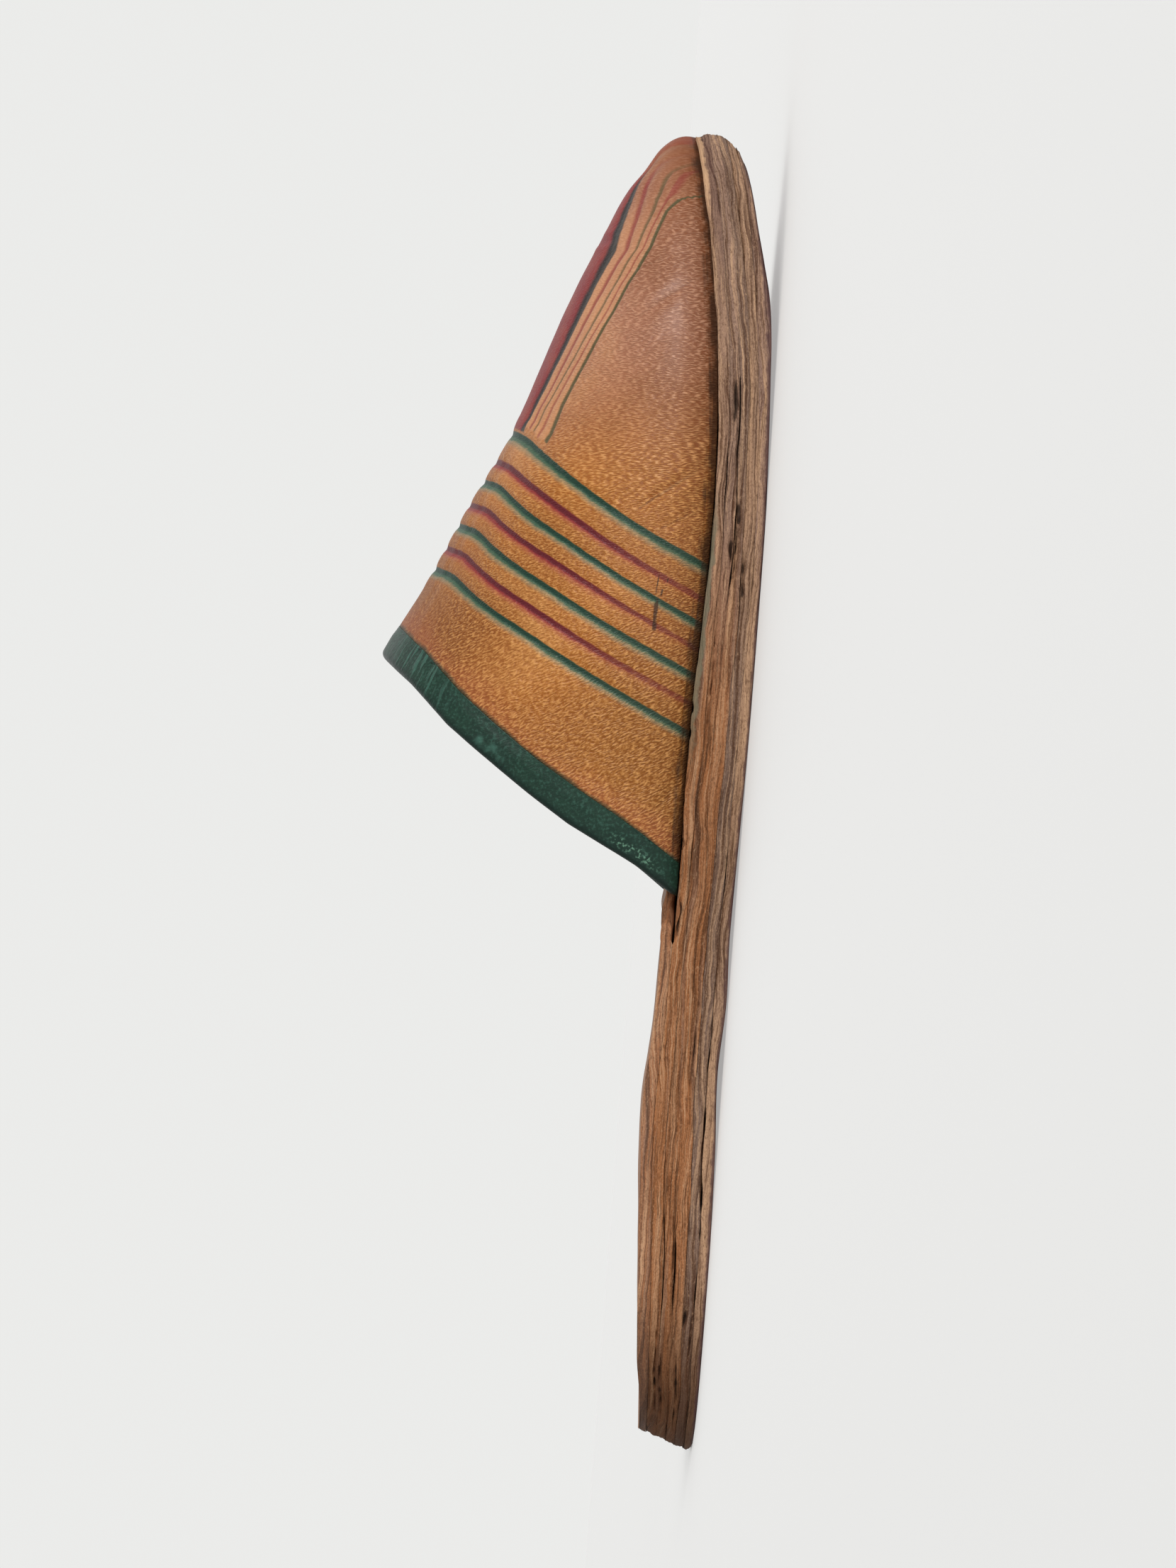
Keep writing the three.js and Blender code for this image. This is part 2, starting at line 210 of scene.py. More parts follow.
LAST_STRIP = 2.5          # plain leather that still counts as beside the last line

# How each lengthwise line is painted: its colour, its shift and half width in strips, and its strength.
STRIPE_LOOKS = table(
    "name colour shift half strength",
    ("black", "black", 0.12, 0.27, 0.95),
    ("red", "red", 0, 0.13, 0.7),
    ("dark", "olive", 0, 0.13, 0.7),
    ("rust", "red", 0, 0.13, 0.55),
    ("green", "olive", 0, 0.19, 0.9),
)

# Facets
TIP_ANGLE = 0.012
NORMAL_STEP = 0.02
TOE_ROWS = 100
TOE_CROWDING = 1.4
LINE_ROWS = 10
COLLAR_ROWS = 14
PARED_ROWS = 4
UPPER_COLUMNS = 232
CUT_SEARCH = (40, 180)
CUT_SEARCH_STEPS = 40
RULER_END = 170           # last station at which sections of the upper are measured
RULER_ROWS = 260
RULER_COLUMNS = 241


def station_angle(station):
    """Even steps of this angle crowd towards both ends of the shoe, where outlines turn fastest."""
    return np.arccos(1 - 2 * np.clip(np.asarray(station, float) / LENGTH, 0, 1))


def angle_station(angle):
    return LENGTH * (1 - np.cos(angle)) / 2


def lerp(start, end, share):
    return start + (end - start) * share


def share_between(value, low, high):
    """0 at low, 1 at high and even between them. High may be the lower one."""
    return np.clip((value - low) / (high - low), 0, 1)


def smooth_step(value, low, high):
    share = share_between(value, low, high)
    return share * share * (3 - 2 * share)


def ditch(distance, half_width):
    """A soft trough: 1 in the middle, 0 at some distance from it."""
    return np.exp(-((distance / half_width) ** 2))


def points_at(x, y, z):
    return np.stack(np.broadcast_arrays(x, y, z), -1)


def lumps(points, size, seed):
    """Soft noise between -1 and 1 at points, with lumps of about that size."""
    shifted = points / size + seed
    return np.array([noise.noise(Vector(point)) for point in shifted])


def read_straight(rows, column, place):
    """Reads one column of a table at places in its first column, on straight lines between the rows."""
    return np.interp(place, [row[0] for row in rows], [getattr(row, column) for row in rows])


def read_table(rows, column, station):
    """Reads one column of a table at stations, on a smooth curve through the rows."""
    at = station_angle([row.station for row in rows])
    value = np.array([getattr(row, column) for row in rows], float)
    index = np.arange(len(rows))
    before = np.maximum(index - 1, 0)
    after = np.minimum(index + 1, len(rows) - 1)
    slope = (value[after] - value[before]) / (at[after] - at[before])
    place = np.clip(station_angle(station), at[0], at[-1])
    i = np.clip(np.searchsorted(at, place) - 1, 0, len(rows) - 2)
    span = at[i + 1] - at[i]
    t = (place - at[i]) / span
    rest = 1 - t
    start = value[i] * (1 + 2 * t) * rest**2 + slope[i] * span * t * rest**2
    end = value[i + 1] * (3 - 2 * t) * t**2 - slope[i + 1] * span * t**2 * rest
    return start + end


def underside_height(station):
    station = np.asarray(station, float)
    spring = TOE_SPRING * (np.maximum(0, SPRING_START - station) / SPRING_START) ** 2
    along = share_between(station, ARCH_FRONT, ARCH_BACK)
    return spring + ARCH_RISE * np.sin(np.pi * along) ** 2


def stack_thickness(station):
    return read_table(SOLE_STACK, "thickness", station)


def stack_height(station):
    return underside_height(station) + stack_thickness(station)


def sole_half_width(station):
    return read_table(SOLE_OUTLINE, "half_width", station)


def sole_middle(station):
    return read_table(SOLE_OUTLINE, "middle", station)


def drawn_back(station, toe_start):
    """Slides a station so that an outline set back to toe_start still ends in the sole's own round toe."""
    station = np.asarray(station, float)
    slid = (station - toe_start) * UPPER_MATCH / (UPPER_MATCH - toe_start)
    return np.where(station >= UPPER_MATCH, station, slid)


def faded_margin(margin, half_width):
    """A margin that fades to nothing where an outline closes at its tip."""
    if margin == 0:
        return np.zeros_like(half_width)
    return margin * np.clip(half_width / (MARGIN_FADE * margin), 0, 1)


# Outer surface of the upper. Around is -1 at the inner seat, 0 on the ridge and 1 at the outer seat.


def upper_column(column, station):
    return read_table(UPPER_SECTIONS, column, np.asarray(station, float) - UPPER_TOE)


def lift_angle(around):
    return (1 - np.abs(around)) ** SEAT_CROWDING * np.pi / 2


def upper_height(station, around):
    return upper_column("rise", station) * np.sin(lift_angle(around)) ** (2 / upper_column("sides", station))


def upper_point(station, around):
    station, around = np.broadcast_arrays(np.asarray(station, float), np.asarray(around, float))
    height = upper_height(station, around)
    rise = upper_column("rise", station)
    full = sole_half_width(drawn_back(station, UPPER_TOE))
    widest = full - faded_margin(EDGE_REVEAL, full)
    spread = np.maximum(np.cos(lift_angle(around)), 0)
    tuck = faded_margin(FEATHER_TUCK, full) * np.maximum(0, 1 - height / TUCK_HEIGHT) ** 2
    half = widest * spread ** (2 / upper_column("ridge", station)) - tuck * spread
    lean = upper_column("lean", station) * height / np.maximum(rise, TINY)
    nose = np.maximum(0, 1 - (station - UPPER_TOE) / NOSE_LENGTH) ** 2
    bulge = NOSE_OVERHANG * nose * np.sin(np.pi * np.clip(height / (2 * NOSE_HEIGHT), 0, 1))
    y = sole_middle(station) + np.sign(around) * half - lean
    return points_at(LENGTH / 2 - station + bulge, y, stack_height(station) + GLUE_GAP + height)


def upper_normal(station, around):
    """Outward direction of the surface, level along the seat so that the seat stays flat."""
    to_heel = upper_point(station + NORMAL_STEP, around) - upper_point(station - NORMAL_STEP, around)
    outer = upper_point(station, np.minimum(around + NORMAL_STEP, 1))
    outer = outer - upper_point(station, np.maximum(around - NORMAL_STEP, -1))
    normal = np.cross(outer, to_heel)
    normal[..., 2] = np.where(np.abs(around) == 1, 0, normal[..., 2])
    return normal / np.maximum(np.linalg.norm(normal, axis=-1, keepdims=True), 1e-9)


def beside_upper(station, around, distance):
    """A point beside the surface, held above the sole where the surface curls in to its seat."""
    point = upper_point(station, around) + upper_normal(station, around) * np.asarray(distance)[..., None]
    seat = stack_height(LENGTH / 2 - point[..., 0]) + GLUE_GAP
    point[..., 2] = np.maximum(point[..., 2], seat + SEAT_LIFT * upper_height(station, around))
    return point


def cut_station(around, cut):
    """Station where a slanted cut crosses each line of the surface that runs along the shoe."""
    end = np.where(around > 0, cut.outer_end, cut.inner_end)
    top = upper_column("rise", cut.ridge)
    low = np.full(around.shape, CUT_SEARCH[0], float)
    high = np.full(around.shape, CUT_SEARCH[1], float)
    for _ in range(CUT_SEARCH_STEPS):
        middle = (low + high) / 2
        height = upper_height(middle, around)
        sweep = cut.flare * np.maximum(0, 1 - height / FLARE_HEIGHT) ** 2
        bow = cut.bow * np.sin(np.pi * np.clip(height / top, 0, 1))
        short = middle < lerp(end, cut.ridge, height / top) + sweep + bow
        low = np.where(short, middle, low)
        high = np.where(short, high, middle)
    return (low + high) / 2


RIDGE_STATIONS = np.linspace(UPPER_TOE, RULER_END, RULER_ROWS)
RIDGE_AROUND = np.linspace(-1, 1, RULER_COLUMNS)


def measure_sections():
    """Length along each section of the upper from the ridge, negative on the inner side."""
    points = upper_point(RIDGE_STATIONS[:, None], RIDGE_AROUND[None, :])
    steps = np.linalg.norm(np.diff(points, axis=1), axis=-1)
    total = np.concatenate([np.zeros((RULER_ROWS, 1)), np.cumsum(steps, axis=1)], axis=1)
    return total - total[:, [RULER_COLUMNS // 2]]


SECTION_LENGTHS = measure_sections()


def grid_place(values, ruler):
    """Whole and broken part of a place on an even ruler."""
    place = (np.clip(values, ruler[0], ruler[-1]) - ruler[0]) / (ruler[1] - ruler[0])
    whole = np.minimum(place.astype(int), len(ruler) - 2)
    return whole, place - whole


def ridge_distance(station, around):
    i, s = grid_place(station, RIDGE_STATIONS)
    j, a = grid_place(around, RIDGE_AROUND)
    near = lerp(SECTION_LENGTHS[i, j], SECTION_LENGTHS[i, j + 1], a)
    far = lerp(SECTION_LENGTHS[i + 1, j], SECTION_LENGTHS[i + 1, j + 1], a)
    return lerp(near, far, s)


# Modelling helpers


@contextmanager
def opened(piece):
    """Opens a piece's mesh for editing, with all of it selected and nothing else."""
    bpy.ops.object.select_all(action="DESELECT")
    piece.select_set(True)
    bpy.context.view_layer.objects.active = piece
    bpy.ops.object.mode_set(mode="EDIT")
    bpy.ops.mesh.select_all(action="SELECT")
    yield
    bpy.ops.object.mode_set(mode="OBJECT")


def add_grid(name, rows, columns, size):
    bpy.ops.object.select_all(action="DESELECT")
    bpy.ops.mesh.primitive_grid_add(x_subdivisions=rows, y_subdivisions=columns, size=size)
    piece = bpy.context.object
    piece.name = name
    piece.data.name = name
    return piece


def leather_blank(name, rows, columns, layers):
    """A flat cut of leather: a grid, extruded downwards once for each layer of its edge.

    Returns the object with the row, column and layer of every point, each from 0 to 1."""
    piece = add_grid(name, rows, columns, 2)
    with opened(piece):
        for _ in range(layers):
            bpy.ops.mesh.extrude_region_move(TRANSFORM_OT_translate={"value": (0, 0, -1)})
        bpy.ops.mesh.select_all(action="SELECT")
        bpy.ops.mesh.normals_make_consistent(inside=False)
    flat = np.zeros(len(piece.data.vertices) * 3)
    piece.data.vertices.foreach_get("co", flat)
    x, y, z = flat.reshape(-1, 3).T
    return piece, (x + 1) / 2, (y + 1) / 2, -z / layers


def draw_over(piece, points):
    """Moves every point of a flat blank to its place on the shoe, given in millimetres."""
    piece.data.vertices.foreach_set("co", (points * MM).ravel())
    piece.data.update()


def write_attributes(piece, **columns):
    """Keeps numbers or vectors for every point of a piece, for its material to read."""
    for name, values in columns.items():
        values = np.asarray(values, np.float32)
        kind, field = ("FLOAT_VECTOR", "vector") if values.ndim == 2 else ("FLOAT", "value")
        attribute = piece.data.attributes.new(name, kind, "POINT")
        attribute.data.foreach_set(field, values.ravel())


def close_seams(piece, gap):
    """Merges points that fell together, then turns every face outwards and shades the piece smooth."""
    with opened(piece):
        bpy.ops.mesh.remove_doubles(threshold=gap * MM)
        bpy.ops.mesh.normals_make_consistent(inside=False)
    bpy.ops.object.shade_smooth()


def dress(piece, material, node):
    """Gives a finished piece its material and its place in the frame."""
    piece.data.materials.append(material)
    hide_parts(node)
    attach(piece, "root")


# Shading


class Shade:
    """A value in a material. Arithmetic on it adds the nodes that work it out."""

    def __init__(self, finish, socket):
        self.finish = finish
        self.socket = socket

    def math(self, operation, *values):
        return self.finish.node("ShaderNodeMath", {"operation": operation}, dict(enumerate(values)))

    def __add__(self, other):
        return self.math("ADD", self, other)

    def __radd__(self, other):
        return self.math("ADD", other, self)

    def __sub__(self, other):
        return self.math("SUBTRACT", self, other)

    def __rsub__(self, other):
        return self.math("SUBTRACT", other, self)

    def __mul__(self, other):
        return self.math("MULTIPLY", self, other)

    def __truediv__(self, other):
        return self.math("DIVIDE", self, other)

    def __pow__(self, other):
        return self.math("POWER", self, other)

    def __abs__(self):
        return self.math("ABSOLUTE", self)

    def at_least(self, other):
        return self.math("MAXIMUM", self, other)

    def at_most(self, other):
        return self.math("MINIMUM", self, other)

    def step(self, low, high):
        """0 below low, 1 above high and smooth between them. High may be the lower one."""
        settings = {"interpolation_type": "SMOOTHSTEP", "clamp": True}
        return self.finish.node("ShaderNodeMapRange", settings, {0: self, 1: low, 2: high})

    def coated(self, *coats):
        """This colour under coats of others, each a share from 0 to 1 and a colour."""
        base = self
        for share, colour in coats:
            base = self.finish.mix(share, base, colour)
        return base


class Finish:
    """A material under construction."""

    def __init__(self, name):
        self.material = bpy.data.materials.new(name)
        self.material.use_nodes = True
        self.tree = self.material.node_tree
        self.shader = self.tree.nodes["Principled BSDF"]

    def node(self, kind, settings, sockets, output=0):
        """Adds a node: its settings first, then the values or links of its sockets."""
        made = self.tree.nodes.new(kind)
        for name, value in settings.items():
            setattr(made, name, value)
        for key, value in sockets.items():
            self.connect(made.inputs[key], value)
        return Shade(self, made.outputs[output])

    def connect(self, socket, value):
        if isinstance(value, Shade):
            self.tree.links.new(value.socket, socket)
        else:
            socket.default_value = value

    def feed(self, **sockets):
        """Sets or links the shader's own sockets, an underscore standing for a space."""
        for name, value in sockets.items():
            self.connect(self.shader.inputs[name.replace("_", " ")], value)

    def attribute(self, name, output="Fac"):
        return self.node("ShaderNodeAttribute", {"attribute_name": name}, {}, output)

    def place(self):
        return self.node("ShaderNodeTexCoord", {}, {}, "Object")

    def split(self, vector):
        made = self.tree.nodes.new("ShaderNodeSeparateXYZ")
        self.connect(made.inputs[0], vector)
        return [Shade(self, socket) for socket in made.outputs]

    def vector(self, x, y, z):
        return self.node("ShaderNodeCombineXYZ", {}, {0: x, 1: y, 2: z})

    def scaled(self, vector, scale):
        return self.node("ShaderNodeVectorMath", {"operation": "MULTIPLY"}, {0: vector, 1: scale})

    def clouds(self, vector, scale=1, detail=2, roughness=0.5):
        sockets = {"Vector": vector, "Scale": scale, "Detail": detail, "Roughness": roughness}
        return self.node("ShaderNodeTexNoise", {}, sockets)

    def mix(self, share, first, second):
        made = self.tree.nodes.new("ShaderNodeMix")
        made.data_type = "RGBA"
        found = {socket.identifier: socket for socket in made.inputs}
        self.connect(found["Factor_Float"], share)
        self.connect(found["A_Color"], first)
        self.connect(found["B_Color"], second)
        results = [socket for socket in made.outputs if socket.identifier == "Result_Color"]
        return Shade(self, results[0])

    def bump(self, height, distance, strength=1):
        sockets = {"Height": height, "Distance": distance, "Strength": strength}
        return self.node("ShaderNodeBump", {}, sockets)


def colour_property(name, description, red, green, blue):
    """A colour that a user may change, given as it looks on screen."""
    linear = [channel / 12.92 if channel <= 0.04045 else ((channel + 0.055) / 1.055) ** 2.4
              for channel in (red / 255, green / 255, blue / 255)]
    return bpy.props.FloatVectorProperty(
        name=name, description=description, subtype="COLOR", size=4, min=0, max=1, default=(*linear, 1)
    )


def length_property(name, description, default):
    return bpy.props.FloatProperty(
        name=name, description=description, default=default * MM, unit="LENGTH", precision=5
    )


class MuleUpperSettings(bpy.types.PropertyGroup):
    """Sizes and colours of the upper and its binding"""

    wall: length_property("Wall", "Thickness of the upper's leather", WALL)
    groove: length_property("Groove", "Depth of the lines pressed across the upper", 0.6)
    crease: length_property("Crease", "Depth of the main creases", 0.5)
    amber: colour_property("Amber", "Leather round the band", 162, 95, 32)
    russet: colour_property("Russet", "Leather towards the toe", 164, 111, 86)
    crest: colour_property("Crest", "Worn crests of the grain", 218, 160, 96)
    bloom: colour_property("Bloom", "Worn crests towards the toe", 210, 160, 128)
    # Shade is the grain's hollows and dark blotches, and also painted shade low on the side, along the ridge
    # and high behind the band
    shade: colour_property("Shade", "Hollows of the grain", 108, 55, 16)
    ochre: colour_property("Ochre", "Yellowed leather at the back, low on the side", 128, 76, 14)
    # This colour is dirt along the sole and the dark of the nick, and also painted shade in the creases and
    # in the gap at the sole
    stain_and_shade: colour_property("Stain", "Dirt along the sole", 52, 32, 20)
    lining: colour_property("Lining", "Inside of the upper", 150, 108, 72)
    binding: colour_property("Binding", "Binding of the collar", 27, 54, 42)
    scuff: colour_property("Scuff", "Scuffs on the binding", 120, 164, 138)
    green: colour_property("Green", "Green lines and binding", 32, 82, 64)
    # Deep green and deep red also paint shadow on each groove's toe-side wall; mint and rose, where they
    # bleed beside a line, also paint light on its lit heel-side wall
    deep_green: colour_property("Deep Green", "Heart of a green line", 14, 50, 40)
    mint: colour_property("Mint", "Green dye that bled beside its line", 116, 126, 102)
    red: colour_property("Red", "Red lines and centre stripe", 126, 32, 40)
    deep_red: colour_property("Deep Red", "Heart of a red line", 82, 20, 32)
    rose: colour_property("Rose", "Red dye that bled or wore thin", 156, 76, 58)
    black: colour_property("Black", "Dark lines beside the stripe", 28, 34, 34)
    olive: colour_property("Olive", "Thin dark lines", 74, 72, 44)
    peach: colour_property("Peach", "Strips between the lengthwise lines", 202, 146, 106)


class MuleSoleSettings(bpy.types.PropertyGroup):
    """Sizes and colours of the sole"""

    fray: length_property("Fray", "How far the edges of the plies are worn in", 0.45)
    wobble: length_property("Wobble", "How far the joints between plies wander", 0.5)
    outsole: colour_property("Outsole", "Bottom ply", 134, 106, 92)
    pale: colour_property("Pale", "Second ply", 160, 126, 100)
    grey: colour_property("Grey", "Third ply", 118, 95, 82)
    tan: colour_property("Tan", "Fourth ply", 138, 110, 94)
    top: colour_property("Top", "Top ply", 146, 115, 95)
    insole: colour_property("Insole", "Insole", 160, 116, 84)
    ember: colour_property("Ember", "Warm brown of the heel half", 150, 97, 60)
    # Umber also paints the shade over the heel end of the sole
    umber: colour_property("Umber", "Dark streaks and the dirty heel end", 72, 43, 24)
    fibre: colour_property("Fibre", "Pale torn fibres", 196, 157, 122)
    # Crack is painted shade inside the splits of the rim, and darkens the insole's pores
    crack: colour_property("Crack", "Cracks between fibres", 50, 37, 30)
    # Mauve is painted shade along the outsole's bottom corner, and darkens the top ply near the toe
    mauve: colour_property("Mauve", "Lower corner of the sole", 76, 52, 54)
    lichen: colour_property("Lichen", "Grey lip beside the upper", 112, 106, 86)


class MuleStageSettings(bpy.types.PropertyGroup):
    """Floor, light and camera"""

    floor: colour_property("Floor", "Pale floor", 196, 196, 195)
    distance: length_property("Distance", "From the camera to the middle of the shoe", 691.6)
    height: length_property("Height", "Of the camera above the floor", 22)
    lens: bpy.props.FloatProperty(
        name="Lens", description="Focal length", default=77, unit="CAMERA", subtype="DISTANCE_CAMERA"
    )
    lean: bpy.props.FloatProperty(
        name="Lean", description="Of the shoe in the picture", default=math.radians(4.2), subtype="ANGLE"
    )


# Upper

# The lines of the band swing towards the heel or the toe at some distance from the ridge.
LINE_SWINGS = table("shift away width", (0.35, 37, 9), (-0.55, 19, 7))
STEADY_LINES = 2          # the first lines of the band, which swing less
STEADY_SHARE = 0.4


def band_stations(around):
    """Stations of the band's lines, a row for each line."""
    rows = []
    for number, line in enumerate(BAND_LINES):
        station = cut_station(around, line)
        away = np.abs(ridge_distance(station, around))
        swing = sum(row.shift * ditch(away - row.away, row.width) for row in LINE_SWINGS)
        rows.append(station + swing * (STEADY_SHARE if number < STEADY_LINES else 1))
    return np.array(rows)


# How far the binding's front and the collar's edge sway back, at heights above the sole.
COLLAR_SWAY = table(
    "height front edge",
    (0, 0, 0),
    (8, 0, 0.2),
    (14, 0.3, 0.9),
    (22, 0.9, 1.8),
    (30, 1.4, 1.8),
    (40, 1.3, 1.5),
    (47, 1.1, 1.3),
    (52, 0.5, 0.5),
    (56, 0, 0),
)


def collar_edges(around):
    """Stations of the binding's front and of the collar's edge."""
    cut = cut_station(around, COLLAR)
    height = upper_height(cut, around)
    front = cut - BINDING_REACH - GLUE_GAP + read_straight(COLLAR_SWAY, "front", height)
    return front, cut + read_straight(COLLAR_SWAY, "edge", height)


def upper_rows(around):
    """Stations of every row of points, toe to collar, and how many of them lie before the binding."""
    lines = band_stations(around)
    front, collar = collar_edges(around)
    knots = [lines[0] - BAND_MARGIN, *lines, lines[-1] + BAND_MARGIN]
    rows = []
    for i in range(TOE_ROWS):
        rows.append(lerp(UPPER_TOE, knots[0], (i / TOE_ROWS) ** TOE_CROWDING))
    for first, second in zip(knots[:-1], knots[1:]):
        for i in range(LINE_ROWS):
            rows.append(lerp(first, second, (1 - math.cos(math.pi * i / LINE_ROWS)) / 2))
    for i in range(COLLAR_ROWS + 1):
        rows.append(lerp(knots[-1], front - STEP_SLOPE, i / COLLAR_ROWS))
    whole = len(rows)
    for i in range(PARED_ROWS + 1):
        rows.append(lerp(front, collar, i / PARED_ROWS))
    return np.array(rows), whole


def band_place(station, around):
    """Place across the band: 1 on its first line, 7 on its last."""
    lines = band_stations(around)
    place = np.zeros(station.shape)
    for i in range(len(around)):
        at = lines[:, i]
        inside = np.interp(station[:, i], at, np.arange(1, len(at) + 1))
        ahead = np.minimum(station[:, i] - at[0], 0) / BAND_MARGIN
        behind = np.maximum(station[:, i] - at[-1], 0) / BAND_MARGIN
        place[:, i] = inside + ahead + behind
    return place


def stripe_place(station, distance):
    """Place across the lengthwise lines: 0 at the pattern's centre, then 1 to 5 on each line."""
    centre = read_straight(STRIPES, "centre", station)
    offset = -distance - centre
    black = read_straight(STRIPES, "black", station) - centre
    edges = [np.zeros_like(station)]
    for look in STRIPE_LOOKS:
        away = read_straight(STRIPES, look.name, station) - centre
        edges.append(np.where(offset > 0, away, black + (away - black) * OUTER_SPREAD))
    edges.append(edges[-1] + LAST_STRIP)
    place = np.zeros_like(station)
    for near, far in zip(edges[:-1], edges[1:]):
        place = place + np.clip((np.abs(offset) - near) / np.maximum(far - near, TINY), 0, 1)
    return place


# Creases of the upper: from one point to another on the surface, each a station and a
# distance from the ridge, negative on the inner side. Depth is a share of the main creases' own.
CREASES = table(
    "start end depth width",
    ((60, -14.2), (109, -14.8), 0.3, 1.5),     # fold along the ridge, on to the collar
    ((92, 3), (108, 3.5), 0.3, 1.5),
    ((24.4, -2), (26.4, -16), 0.8, 0.8),       # across the centre stripe
    ((82.5, -57.4), (72.5, -66.4), 1.2, 1.1),  # slanting down to the sole
    ((86, -63), (80.5, -71), 0.6, 1.1),
    ((44, -36), (34, -44), 0.4, 1.6),
    ((36, -22), (30, -36), 0.4, 1.8),
    ((140, -86), (132, -90), 0.5, 1.4),
    ((60, 40), (48, 48), 0.5, 1.6),
    ((84, 60), (76, 67), 0.6, 1),
)

# One long cut in the leather, as strokes between points given in the same way.
NICKS = table(
    "start end width",
    ((91.6, -67.6), (96.5, -69.3), 0.14),
    ((96.5, -69.3), (99.5, -70.4), 0.22),
    ((99.5, -70.4), (104.6, -72.2), 0.4),
    ((94.5, -70.5), (99.5, -70.6), 0.16),
)


def along_path(station, distance, start, end):
    """Distance from a straight stroke on the surface, and how far along it the nearest place lies."""
    dx, dy = end[0] - start[0], end[1] - start[1]
    share = ((station - start[0]) * dx + (distance - start[1]) * dy) / (dx * dx + dy * dy)
    share = np.clip(share, 0, 1)
    return np.hypot(station - start[0] - share * dx, distance - start[1] - share * dy), share


STRIP_WIDTH = 3           # of a strip between lengthwise lines, about


def upper_relief(station, distance, band, stripe, settings):
    """Height of the pressed lines, strips and creases above the smooth last."""
    groove = settings.groove / MM
    near_ridge = ditch(np.abs(distance) - 22, 17)
    nearest = np.clip(np.round(band), 1, len(BAND_LINES))
    depth = groove * (0.4 + 0.6 * near_ridge) * np.where(nearest % 2 == 1, 1, 0.8)
    relief = -depth * ditch((band - nearest) * BAND_PITCH, 0.75)
    inside = (band > 0.3) & (band < len(BAND_LINES) + 0.7)
    swell = np.where(inside, np.cos(2 * np.pi * (band - nearest)) * -0.5 + 0.5, 0)
    relief = relief + groove * 0.3 * swell * (0.2 + 0.8 * near_ridge)
    number = np.clip(np.round(stripe), 1, len(STRIPE_LOOKS))
    stroke = ditch((stripe - number) * STRIP_WIDTH, 0.7) * np.where(number == 1, 1.3, 1)
    relief = relief - 0.3 * stroke * smooth_step(band, 0.85, 0.35)
    for fold in CREASES:
        away, share = along_path(station, distance, fold.start, fold.end)
        faded = np.sin(np.pi * np.clip(share, 0.08, 0.92))
        trough = ditch(away, fold.width) - 0.45 * ditch(away - 2 * fold.width, fold.width)
        relief = relief - settings.crease / MM * fold.depth * faded * trough
    return relief


def make_upper(settings):
    around = np.linspace(-1, 1, UPPER_COLUMNS + 1)
    stations, whole = upper_rows(around)
    rows = len(stations)
    piece, u, v, layer = leather_blank("upper_leather", rows - 1, UPPER_COLUMNS, 1)
    i = np.rint(u * (rows - 1)).astype(int)
    j = np.rint(v * UPPER_COLUMNS).astype(int)
    station = stations[i, j]
    side = around[j]
    distance = ridge_distance(station, side)
    band = band_place(stations, around)[i, j]
    stripe = stripe_place(station, distance)
    flat = points_at(station, distance, 0.0)
    relief = upper_relief(station, distance, band, stripe, settings)
    relief = relief + 0.3 * lumps(flat, 17, 3.7) + 0.12 * lumps(flat, 6, 9.1)
    seat = upper_height(station, side)
    ahead = (stations[whole - 1] - stations)[i, j]
    relief = relief * smooth_step(seat, 0, 2.5) * smooth_step(station, 2, 7) * smooth_step(ahead, 0.2, 3)
    relief = relief + np.where(i >= whole, BINDING_PROUD - GLUE_GAP - BINDING_THICKNESS, 0)
    wall = settings.wall / MM
    inside = layer > 0.5
    points = beside_upper(station, side, np.where(inside, -wall, relief))
    tip = i == 0
    points[tip] = upper_point(UPPER_TOE, 0.0)
    points[tip & inside, 0] -= wall
    draw_over(piece, points)
    nicks = [along_path(station, distance, nick.start, nick.end)[0] / nick.width for nick in NICKS]
    write_attributes(
        piece,
        grain=flat,
        band=band,
        stripe=stripe,
        seat=seat,
        nick=np.min(nicks, axis=0),
        collar=np.maximum(ahead, 0),
        inside=inside,
    )
    close_seams(piece, 0.004)
    return piece


GRAIN_PITCH = 2.5         # wrinkles of the grain to a millimetre, about
GRAIN_ASPECT = 0.3


def leather_grain(finish):
    """Crests of the grain from 0 to 1: fine wavy wrinkles across the shoe, which slant in the band.

    Returned with the station and the distance from the ridge."""
    station, distance, _ = finish.split(finish.attribute("grain", "Vector"))
    down = abs(distance)
    slant = station.step(45, 110) * 0.55
    shiver = finish.clouds(finish.vector(station * 0.3, distance * 0.3, 4)) - 0.5
    across = (station + slant * down + shiver * 1.6) * GRAIN_PITCH
    along = (down - slant * station) * GRAIN_PITCH * GRAIN_ASPECT

    def wrinkled(closer, shorter, seed):
        where = finish.vector(across * closer, along * shorter, seed)
        return finish.clouds(where, detail=1, roughness=0.35)

    back = station.step(66, 92) * 0.4
    front = station.step(76, 50)
    wrinkles = wrinkled(1, 1, 0) * (1 - back) + wrinkled(0.9, 2.2, 7) * back
    blend = wrinkles * (1 - front) + wrinkled(1.45, 1.15, 3) * front
    return blend.step(0.3, 0.7), station, distance


